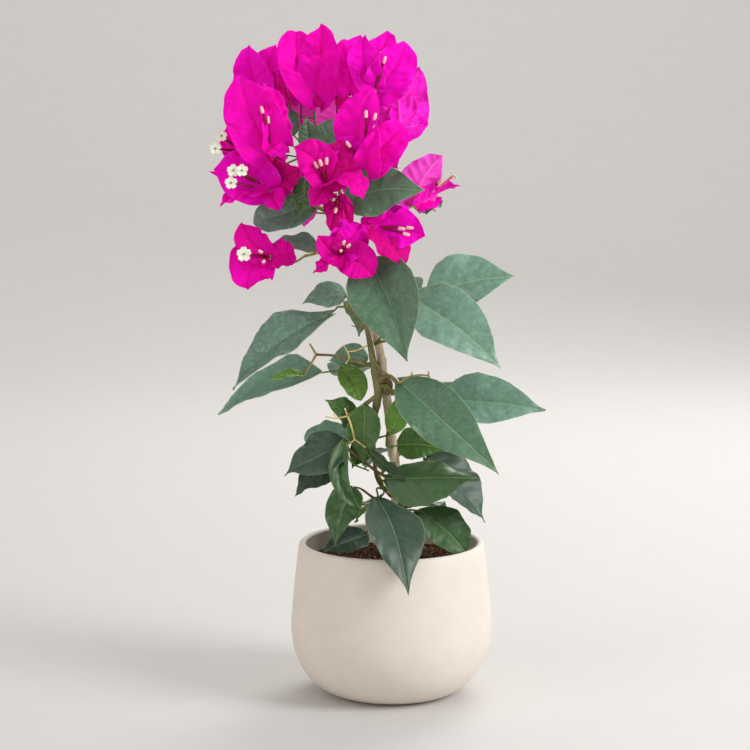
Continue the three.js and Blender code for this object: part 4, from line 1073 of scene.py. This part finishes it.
# bracts toned with the two darker magentas carry painted shade, and those given the bright tone in place of
# the dealt one carry painted light
blossomMasses = [
    mass("crown_low_left", "bough_low_left", wood="tan", path=[(-60, -8, 270), (-69, -9, 271)], leaves=[
        leaf((-46, 5, 277), (163, 7), (28, 17), "mist", face=(-80, 50)),
    ], clusters=[
        cluster((-74, -10, 273.6), (-105, 15), [
            bract(
                (-17.3, 0, 21.3), 20, (-70, 10), instead="cerise", ruffle=2, bend=-45, outline=squareBract,
            ),
            bract((15, 1, 2.4), 19, (-100, 30), instead="cerise", cup=2, outline=bluntBract),
            bract((-13.3, -4, -19.4), 31, (-95, 25), cup=1.5, bend=84),
        ], stars=[((-15.1, -13, 3), 4.8)], buds=[(-6, -12, 5), (-4, -11, -2)]),
    ]),
    mass("crown_low_right", "bough_low_right", path=[(-10, -14, 292.5)], twigs=[
        ([(-10, -14, 292.5), (0, -8, 299), (13, 0, 304)], "green"),
    ], leaves=[
        leaf((21, 10, 299), (59, 14), (22, 12), "blue"),
    ], clusters=[
        cluster((-12, -18, 293.2), (-20, 0), [
            bract(
                (18.1, -6, -23.3), 26, (-60, 30), instead="ruby", arch=40, bend=-35, quilt=0.3,
                outline=broadBract,
            ),
            bract((31.9, -4, -5.7), 28, (-140, 15), instead="bright", arch=-20, bend=-30, quilt=0.4),
            bract((22.4, 4, 11.2), 22, (-70, -40)),
            bract((-6.6, 0, 4.8), 12, (-90, 20)),
        ], buds=[(24.6, -8, -0.6), (19.6, -9, -1), (22.4, -9, -4.7)]),
        cluster((13, 4, 303.6), (60, 10), [
            bract((18, 4, 30.7), 27, (105, 5), tone="pale", bend=24),
            bract((28.5, -2, 12.4), 18, (100, 72), bend=-30),
            bract((9.6, 22, 8.3), 24, (0, 60)),
        ], paleStars=[((24.8, 0, 18.5), 3.4)], buds=[(18, 8, 16), (12, 12, 18)]),
    ]),
    mass("crown_front", "leader", where=(293, -100), radius=0.9, wood="green", path=[
        (-32, -10, 300), (-37, -20, 310), (-40, -27, 317),
    ], twigs=[
        ([(-32, -10, 300), (-33, -16, 290), (-33, -23, 277)], "wine"),
    ], clusters=[
        cluster((-39.5, -29, 319.3), (-85, 25), [
            bract((-19, -6, 22.5), 24, (-70, 0), instead="cerise", cup=1, bend=50, outline=squareBract),
            bract((8, 3, 26), 25, (-95, -5), instead="ruby", bend=30, outline=squareBract),
            bract((22, -9, -8.5), 25, (-60, 50), instead="cerise", arch=120),
            bract((-9.7, -6, -12.4), 15, (-90, 10), instead="cerise", bend=-40),
        ], buds=[(-6.4, -8, 13.3), (-3.4, -10, 14.8), (0.6, -8, 15.9)]),
        cluster((-32.5, -19, 311.4), (-90, -60), [
            bract((-4.2, -4, -21), 12, (-110, 0), tone="ruby", ruffle=1),
            bract((6.5, -2, -19), 12, (-70, -10), tone="ruby", ruffle=1),
            bract((-8.5, 2, -10), 9, (-70, 20), tone="ruby", ruffle=1),
        ], buds=[(-3, -9, -1.8), (-1.5, -9, -9.3)]),
        cluster((-30.7, -23, 276.8), (-90, 20), [
            bract((-13.6, -4, 11.4), 17, (-60, -10), instead="cerise", bend=-30, ruffle=1),
            bract((-1, 2, 17), 14, (-50, 10), tone="ruby", ruffle=1),
            bract((13, 4, 18), 24, (-108, -10), outline=squareBract),
            bract(
                (19.5, -6, -13), 23, (-115, 25), instead="cerise", cup=2, bend=-40, quilt=0.3,
                outline=squareBract,
            ),
            bract((-16.6, -6, -11.2), 12, (-90, 60), instead="cerise", bend=-30),
        ], buds=[(2.2, -11, 8.7), (5.3, -11, 6.6), (0.2, -12, 3.2)]),
    ]),
    mass("crown_left", "bough_left", wood="tan", path=[(-60, -9, 312), (-69, -11, 314)], twigs=[
        ([(-62, -9, 312.5), (-64, -1, 322), (-70, -10, 333), (-72, -16, 339)], "green"),
        ([(-64, -9, 313), (-78, -7, 325), (-88, -5, 336)], "green"),
        ([(-36, -4, 301), (-51, -10, 306), (-70, -12, 313)], "green"),
        ([(-36, -4, 301), (-52, -13, 302), (-64, -13, 309), (-71, -13, 313)], "olive"),
    ], clusters=[
        cluster((-74, -12, 314.5), (-105, 20), [
            bract((-33.5, -2, 12.5), 31, (-92, 5), cup=1.2, bend=35, outline=squareBract),
            bract((-36, -2, 11.2), 7, (-92, 5)),
            bract((-29.1, -10, -9.1), 16, (-105, 60), bend=30),
            bract((6, -8, -12.1), 15, (-90, 30)),
        ], stars=[((-20.9, -15, 12.6), 4.1), ((-15.7, -16, 12.7), 4), ((-22.2, -16, 5.4), 4.1)]),
        cluster((-73, -19, 340.2), (-95, 45), [
            bract((-17.7, 0, 43.1), 34, (-97, 8), cup=1, bend=-36, outline=broadBract, heart=0.2),
            bract((-4, 2, 38.8), 20, (-60, 5), bend=16, fold=24),
            bract((9, -4, -5), 12, (-80, 30), arch=60),
        ], buds=[(-4.9, -9, 25), (-1, -6, 19)]),
        cluster((-88, -5, 336.4), (180, 20), [
            bract((-12.3, 4, 15.6), 21, (-110, 10)),
            bract((-15, 6, 0.9), 16, (-120, 50)),
            bract((2, 12, 15), 20, (-100, 0)),
        ], stars=[((-14.2, -15, 11), 3.8), ((-18, -15, 3.4), 3.9), ((-16, 3, 8), 3.6)]),
        cluster((-74, -9, 317), (-60, 60), [
            bract((5.5, 0, 21.8), 22, (-90, 0), tone="ruby", crinkle=0.7, ruffle=2),
            bract((18.5, -3, 10), 21, (-80, 20), tone="ruby", crinkle=0.7, ruffle=2),
            bract((6, 14, 12), 20, tone="ruby"),
        ], buds=[(3, -6, 9)]),
    ], dealt=[((-83, 18, 346), (150, 50), 5, 22), ((-77, 16, 330), (165, 8), 41, 20)]),
    mass("crown_top", "bough_top", wood="green", path=[(-47, 3, 358), (-47, 2, 371)], twigs=[
        ([(-47, 3, 357), (-66, 12, 360), (-79, 17, 365)], "green"),
        ([(-47, 3, 358), (-47, 14, 366), (-46.6, 24, 373)], "green"),
        ([(-47, 3, 352), (-36, 4, 351), (-33.5, 4, 356), (-33.5, 4, 371)], "wine"),
        ([(-47, 3, 352), (-53, 4, 351), (-55, 4, 356), (-55, 4, 371)], "wine"),
    ], clusters=[
        cluster((-79.5, 18, 366.4), (-90, 60), [
            bract((-7.5, -4, 34.6), 27, (-105, 5), instead="bright", cup=1, bend=-30),
            bract((8.4, 2, 35), 23, (-120, 5), instead="bright", bend=20, outline=squareBract),
            bract((6, 18, 24), 25, (-90, 20)),
        ], buds=[(0, 8, 17)]),
        cluster((-46.8, 2, 372), (-90, 55), [
            bract((-10.9, 3, 37.6), 26, (-80, 0), bend=-50, outline=bluntBract, heart=0.24),
            bract((3.9, 1, 42), 26, (-100, 0), bend=42, outline=broadBract, heart=0.24),
            bract((-8, 4, -5), 15, (-90, 10), tone="ruby"),
            bract((10, 3, -5), 14, (-90, 10), tone="ruby"),
        ], buds=[(1, 10, 12), (5, 9, 12)]),
        cluster((-46.6, 25, 373.5), (90, -10), [
            bract((-2, 3, -26), 32, (85, -10), tone="pale", outline=bluntBract),
            bract((15, 12, -6), 26, (90, 20)),
            bract((-15, 12, 2), 26, (90, 20)),
        ], buds=[(2, 14, -6), (-3, 14, -2)]),
    ], dealt=[((-62, 15, 366), (110, 60), 23, 26)]),
    mass("crown_right", "bough_right", wood="green", path=[(-13.5, -4, 340), (-12, -7, 345)], twigs=[
        ([(-14, -4, 339), (-15, -14, 334), (-17, -25, 328)], "green"),
        ([(-12, -7, 345), (-3, -6, 348), (4, 0, 348)], "green"),
        ([(-12, -7, 345), (-12, -10, 360), (-10, -12, 373)], "wine"),
        ([(-12, -9, 353), (-19, -2, 362), (-25, 4, 370)], "green"),
    ], clusters=[
        cluster((-16.8, -26, 327.4), (-75, 50), [
            bract((6, 2, 48.7), 30, (-112, 8), cup=1, bend=-26, outline=broadBract),
            bract((24, -2, 26.5), 24, (-72, 12), cup=1.4, bend=-20, outline=bluntBract),
            bract((-16.1, 1, 19), 22, (-92, 10), bend=20),
        ], buds=[(7.1, -8, 33.9), (7, -9, 28.4), (1.4, -7, 35.5), (-10.3, -6, 17.3)]),
        cluster((5, 2, 347.8), (60, 40), [
            bract((11.6, 6, 40.1), 32, (82, -5), tone="bright", crinkle=0.6, bend=12),
            bract((-3, -3, 29), 25, (95, 0), tone="bright", crinkle=0.7),
            bract((8.5, 20, 22), 26, (-60, 30)),
        ], buds=[(8, 12, 14), (12, 12, 10)]),
        cluster((-9.6, -12, 374.6), (-75, 60), [
            bract((-6.2, -2, 32.8), 20, (-100, 0), bend=-56, outline=squareBract),
            bract((16.8, 0, 29.2), 28, (-72, 5), cup=1, bend=44, outline=broadBract),
            bract((7.2, 10, 35.2), 25, (-88, 0), tone="bright"),
        ], buds=[(3.2, -7, 22.5), (5.6, -8, 19.8), (1, -6, 17)]),
        cluster((-25.4, 4, 370.5), (-90, 50), [
            bract((6.4, 5, 36.7), 24, (-95, 0), tone="bright"),
            bract((-3.1, 8, 34.3), 22, (-75, 0), tone="bright", bend=-24),
            bract((-2.4, -7, -11), 19, (-90, 20), tone="ruby", crinkle=0.7, ruffle=2),
        ], buds=[(-2, 6, 10)]),
    ], dealt=[((-3, 18, 362), (45, 50), 29, 25), ((-16, 14, 336), (35, 10), 53, 22)]),
    mass("crown_back", "bough_back", radius=0.9, wood="green", path=[
        (-30, 31, 328), (-36, 33, 342), (-44, 31, 352),
    ], twigs=[
        ([(-30, 31, 328), (-18, 34, 332), (-10, 36, 340)], "green"),
        ([(-31, 32, 332), (-52, 38, 331), (-67, 39, 333)], "green"),
        ([(-36, 33, 342), (-22, 40, 350), (-10, 42, 355)], "green"),
        ([(-29, 28, 321), (-40, 34, 312), (-49, 36, 309)], "green"),
        ([(-29, 28, 321), (-24, 38, 316)], "green"),
        ([(-56, 38, 331), (-74, 34, 324), (-81, 30, 321)], "green"),
        ([(-44, 31, 352), (-54, 40, 358), (-60, 44, 360)], "green"),
    ], dealt=[
        ((-45, 38, 355), (88, 30), 3, 30), ((-9, 36, 340), (80, 45), 8, 28),
        ((-68, 39, 333), (140, 15), 13, 30), ((-9, 42, 355), (60, 40), 21, 30),
        ((-50, 36, 309), (110, 12), 34, 28), ((-24, 38, 315), (70, 6), 55, 30),
        ((-82, 30, 321), (150, 40), 89, 20), ((-61, 44, 361), (115, 45), 144, 30),
    ]),
]


def seeded(seed):
    # the same small generator as in the part's source, so that dealt clusters fit their solids
    state = seed
    modulus = 2 ** 31
    while True:
        state = (state * 1103515245 + 12345) % modulus
        yield state / modulus


dealForm = {
    # the least and what a draw adds: degrees between a bract and the axis, and length as a share of reach
    "opened": (38, 26), "length": (0.88, 0.24),
    # a bract's width as a share of its length, and a bud's length as a share of reach
    "width": 0.82, "bud": 0.46,
}


def dealtCluster(at, axis, seed, reach):
    draw = seeded(seed)
    middle = aimed(*axis)
    start = next(draw) * 120
    across = upperSide(axis)
    bracts = []
    for step in (0, 120, 240):
        least, more = dealForm["opened"]
        opened = math.radians(least + more * next(draw))
        out = turned(across, middle, start + step)
        along = middle * math.cos(opened) + out * math.sin(opened)
        least, more = dealForm["length"]
        length = reach * (least + more * next(draw))
        bracts.append(bract(along * length, length * dealForm["width"]))
    buds = [unit(1.2 * middle + unit(tip)) * reach * dealForm["bud"] for (tip, *others), own in bracts]
    return cluster(at, axis, bracts, buds=buds)


def nearestPlace(courses, target):
    best, least = None, math.inf
    for course in courses:
        for i in range(3, 25):
            place = course.at(i / 24)
            distance = np.linalg.norm(place - target)
            if distance < least:
                best, least = place, distance
    return best


def taper(foot, tip, length, nodeEvery=13.0, swell=0.16):
    # a radius that narrows evenly and swells a little at each node
    def radiusAt(t):
        walked = t * length
        node = (walked / nodeEvery + 0.37) % 1 - 0.5
        return (foot + (tip - foot) * t) * (1 + swell * math.exp(-(node * nodeEvery / 1.1) ** 2))
    return radiusAt


def facedBy(face, along):
    # square to along, as near to face as can be
    return unit(face - along * np.dot(face, along))


def growLeaf(heaps, courses, draw, base, aim, size, tone, turn=0, face=None, arch=25, fold=12, **own):
    along = aimed(*aim)
    upper = facedBy(aimed(*face), along) if face else upperSide(aim, turn)
    own.setdefault("twist", draw.uniform(-14, 14))
    base = np.array(base, float)
    rib, normal = bladeMesh(
        heaps["leaves"], "leaf", base, along, upper, size, arch, tone, draw, fold=fold, **own,
    )
    # its stalk
    foot = nearestPlace(courses, base)
    ahead = unit(rib[3] - rib[0])
    bow = ahead * np.linalg.norm(base - foot) * 0.12
    course = Course([foot, (foot + base) / 2 - bow, base - normal[0] * 0.2, base + ahead * 2.5])
    wood = "greenWood" if tone == "fresh" else "oliveWood"
    tubeMesh(heaps["twigs"], course, taper(0.62, 0.42, course.length, 40), wood, 8, 1.2)


def growBract(heap, hub, axis, draw, tip, width, face=None, tone=None, instead=None, arch=20, **own):
    tip = np.array(tip, float)
    along = unit(tip)
    dealt = tone or draw.choice(["magenta", "magenta", "bright"])
    inner = facedBy(aimed(*face) if face else axis, along)
    own.setdefault("twist", draw.uniform(-16, 16))
    own.setdefault("fold", draw.uniform(4, 16))
    own.setdefault("bend", draw.uniform(-14, 14))
    # a bract starts a little off its hub
    off = 0.6
    size = (np.linalg.norm(tip) - off, width)
    # a colour given in place of the dealt one is painted shade (a darker tone) or painted light (the bright
    # tone)
    bladeMesh(heap, "bract", hub + along * off, along, inner, size, arch, instead or dealt, draw, **own)


def growCluster(heaps, courses, draw, hub, axis, bracts, flowers):
    hub = np.array(hub, float)
    axis = aimed(*axis)
    foot = nearestPlace(courses, hub)
    gap = np.linalg.norm(foot - hub)
    if gap > 1:
        course = Course([foot, (foot + hub) / 2 - 0.1 * gap * axis, hub])
        tubeMesh(heaps["twigs"], course, taper(0.5, 0.6, course.length, 60), "greenWood", 8, 1.2)
    for places, own in bracts:
        growBract(heaps["bracts"], hub, axis, draw, *places, **own)
    for kind, tip, *radius in flowers:
        flower(heaps["flowers"], hub, np.array(tip, float), axis, kind, draw, *radius)


massSlots = {"leaves": "leaf", "twigs": "green_stem", "bracts": "bract", "flowers": "bract"}


def growMass(
        name, source, path, where=None, radius=0.8, wood="olive", twigs=(), leaves=(), clusters=(),
        dealt=(),
):
    draw = random.Random(name)
    heaps = {kind: Heap() for kind in massSlots}
    narrowing = 0.7
    path = [np.array(spot, float) for spot in path]
    stem = Course([*stemStart(source, where, path, radius), *path])
    courses = [stem]
    widths = taper(radius, radius * narrowing, stem.length)
    tubeMesh(heaps["twigs"], stem, widths, wood + "Wood", 10, 1.0)
    for spots, twigWood, *own in twigs:
        foot = own[0] if own else radius * narrowing
        start = nearestPlace([*courses, limbs[source][0]], np.array(spots[0], float))
        course = Course([start, *spots[1:]])
        courses.append(course)
        widths = taper(foot, foot * narrowing, course.length)
        tubeMesh(heaps["twigs"], course, widths, twigWood + "Wood", 8, 1.0)
        if twigWood in ("yellow", "tan"):
            tip, ahead = course.at(1), course.heading(1)
            paleEnd = Course([tip - ahead * 0.5, tip + ahead * 0.5])
            tubeMesh(heaps["twigs"], paleEnd, lambda t: 0.5, "paleWood", 8)
    for places, own in leaves:
        growLeaf(heaps, courses, draw, *places, **own)
    for grown in [*clusters, *(dealtCluster(*deal) for deal in dealt)]:
        growCluster(heaps, courses, draw, *grown)
    for kind, slot in massSlots.items():
        heaps[kind].piece(name + "_" + kind, [name], slot)
    return sum(heap.triangles() for heap in heaps.values())


# Pot and soil

potForm = {
    "height": 95.5, "bellyRadius": 62.5, "bellyHeight": 42, "rimRadius": 57.3, "footRadius": 29,
    "wall": 4.3, "floor": 7, "lip": 1.8, "roundness": 0.95, "shoulder": 1.35, "sides": 144,
    "color": (226, 216, 204),
}
soilForm = {
    # crown is how much it falls outside the flat middle, gap its distance from the pot's wall, and sink
    # what it lies lower to leave room for the crumbs
    "top": 85.5, "crown": 1.6, "flat": 14, "gap": 0.36, "sink": 0.9, "lumps": 0.4, "rings": 40, "sides": 96,
    "color": (78, 54, 40),
    # crumbs lie from the radius crumbsFrom to the share crumbsTo of the soil's own
    "crumbs": 2600, "crumbSize": (0.7, 2.2), "crumbsFrom": 4, "crumbsTo": 0.975,
    # colour, mottle and weight of each kind
    "crumbKinds": {
        "crumbDark": ((58, 38, 28), 0.4, 5), "crumbBrown": ((104, 72, 52), 0.3, 5),
        "crumbPale": ((150, 118, 92), 0.3, 1),
    },
}


def potRadius(z):
    # a quarter of a rounded curve up to the belly, and a shoulder above it
    form = potForm
    foot, belly, rim = form["footRadius"], form["bellyRadius"], form["rimRadius"]
    low = form["bellyHeight"]
    if z < low:
        return foot + (belly - foot) * math.sin(math.acos(1 - z / low)) ** form["roundness"]
    return belly + (rim - belly) * ((z - low) / (form["height"] - low)) ** form["shoulder"]


def potProfile():
    # radius and height from just above the foot, over the lip and down the inside to the floor
    form = potForm
    steps = 24
    rings = []
    for i in range(1, steps + 1):
        z = form["bellyHeight"] * (1 - math.cos(math.radians(90 * i / steps)))
        rings.append((potRadius(z), z))
    lipBase = form["height"] - form["lip"]
    rings += [(potRadius(z), z) for z in np.linspace(form["bellyHeight"] + 3, lipBase, 16)]
    middle = form["rimRadius"] - form["wall"] / 2
    for turn in range(15, 180, 15):
        angle = math.radians(turn)
        rings.append((middle + form["wall"] / 2 * math.cos(angle), lipBase + form["lip"] * math.sin(angle)))
    rings += [(potRadius(z) - form["wall"], z) for z in (lipBase, 88, 80, 60, 40, 25, 15, form["floor"])]
    return rings


def addPot():
    # the foot ring is drawn up ring by ring to the lip, and down inside to the floor
    bpy.ops.object.select_all(action="DESELECT")
    bpy.ops.mesh.primitive_circle_add(
        vertices=potForm["sides"], radius=potForm["footRadius"] * mm, fill_type="NGON", location=(0, 0, 0),
    )
    pot = bpy.context.object
    pot.name = "pot_shell"
    bpy.ops.object.mode_set(mode="EDIT")
    bpy.ops.mesh.select_all(action="SELECT")
    radius, height = potForm["footRadius"], 0
    for nextRadius, nextHeight in potProfile():
        rise = (0, 0, (nextHeight - height) * mm)
        bpy.ops.mesh.extrude_region_move(TRANSFORM_OT_translate={"value": rise})
        scale = nextRadius / radius
        bpy.ops.transform.resize(value=(scale, scale, 1), center_override=(0, 0, nextHeight * mm))
        radius, height = nextRadius, nextHeight
    bpy.ops.mesh.select_all(action="SELECT")
    bpy.ops.mesh.normals_make_consistent(inside=False)
    bpy.ops.object.mode_set(mode="OBJECT")
    bpy.ops.object.shade_smooth()
    pot.data.materials.append(finishes["matteClay"])
    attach(pot, "root")
    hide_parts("pot")
    print("pot raised:", len(pot.data.polygons), "faces")


def soilEdge(z):
    return potRadius(z) - potForm["wall"] - soilForm["gap"]


def soilTop(radius, angle):
    form = soilForm
    fall = form["crown"] * max(0, radius - form["flat"]) / (soilEdge(form["top"]) - form["flat"])
    lumps = 0.5 * math.sin(radius * 0.9 + 2 * math.sin(angle * 3)) * math.sin(angle * 5 + radius * 0.4)
    return form["top"] - fall - form["sink"] + form["lumps"] * lumps


def addSoil():
    form = soilForm
    mound = Heap()
    sides = form["sides"]
    angles = np.linspace(0, 2 * math.pi, sides, endpoint=False)
    radii = np.linspace(0.6, soilEdge(form["top"]), form["rings"])
    top = [[(r * math.cos(a), r * math.sin(a), soilTop(r, a)) for a in angles] for r in radii]
    heights = (80, 60, 40, 25, 15, potForm["floor"] + 0.4)
    wall = [[(soilEdge(z) * math.cos(a), soilEdge(z) * math.sin(a), z) for a in angles] for z in heights]
    points = np.array(top + wall)
    faces = gridFaces(len(points), sides, around=True)
    loam = mound.slotOf("loam")
    first = np.arange(sides)[None, :]
    last = (np.arange(sides)[::-1] + (len(points) - 1) * sides)[None, :]
    mound.add(points, (faces[:, ::-1], loam), (first, loam), (last, loam))
    mound.piece("soil_mound", ["soil"], "potting_soil")
    addCrumbs()


def addCrumbs():
    # each crumb is a 20-sided solid, squashed, roughened and turned
    form = soilForm
    draw = random.Random(7)
    edge = soilEdge(form["top"])
    crumbs = Heap()
    golden = (1 + 5 ** 0.5) / 2
    corners = np.array([
        (-1, golden, 0), (1, golden, 0), (-1, -golden, 0), (1, -golden, 0),
        (0, -1, golden), (0, 1, golden), (0, -1, -golden), (0, 1, -golden),
        (golden, 0, -1), (golden, 0, 1), (-golden, 0, -1), (-golden, 0, 1),
    ]) / 1.9
    faces = np.array([
        (0, 11, 5), (0, 5, 1), (0, 1, 7), (0, 7, 10), (0, 10, 11), (1, 5, 9), (5, 11, 4), (11, 10, 2),
        (10, 7, 6), (7, 1, 8), (3, 9, 4), (3, 4, 2), (3, 2, 6), (3, 6, 8), (3, 8, 9), (4, 9, 5), (2, 4, 11),
        (6, 2, 10), (8, 6, 7), (9, 8, 1),
    ])
    kinds = list(form["crumbKinds"])
    weights = [weight for color, mottle, weight in form["crumbKinds"].values()]
    low, high = form["crumbSize"]
    for i in range(form["crumbs"]):
        radius = edge * math.sqrt(draw.random()) * form["crumbsTo"]
        angle = draw.uniform(0, 2 * math.pi)
        if radius < form["crumbsFrom"]:
            continue
        size = low + (high - low) * draw.random() ** 2.2
        squash = np.array([draw.uniform(0.7, 1.2), draw.uniform(0.7, 1.2), draw.uniform(0.5, 0.9)])
        shape = corners * squash * size / 2 * np.array([[draw.uniform(0.85, 1.15)] for c in corners])
        axis = unit(np.array([draw.uniform(-1, 1) for c in range(3)]))
        # it turns by about its own angle round the pot
        shape = np.array([turned(corner, axis, angle * 57) for corner in shape])
        at = (radius * math.cos(angle), radius * math.sin(angle), soilTop(radius, angle) + size * 0.12)
        kind = draw.choices(kinds, weights)[0]
        crumbs.add(shape + at, (faces, crumbs.slotOf(kind)))
    crumbs.piece("soil_crumbs", ["soil"], "potting_soil")
    print("soil laid:", crumbs.triangles(), "triangles of crumbs")


addCamera()
mixFinishes()
addLights()
addFloor()
addPot()
addSoil()
growLimbs()
leafTotal = sum(growMass(*names, **own) for names, own in leafMasses)
print("leaf masses grown:", leafTotal, "triangles")
bloomTotal = sum(growMass(*names, **own) for names, own in blossomMasses)
print("blossom masses grown:", bloomTotal, "triangles")
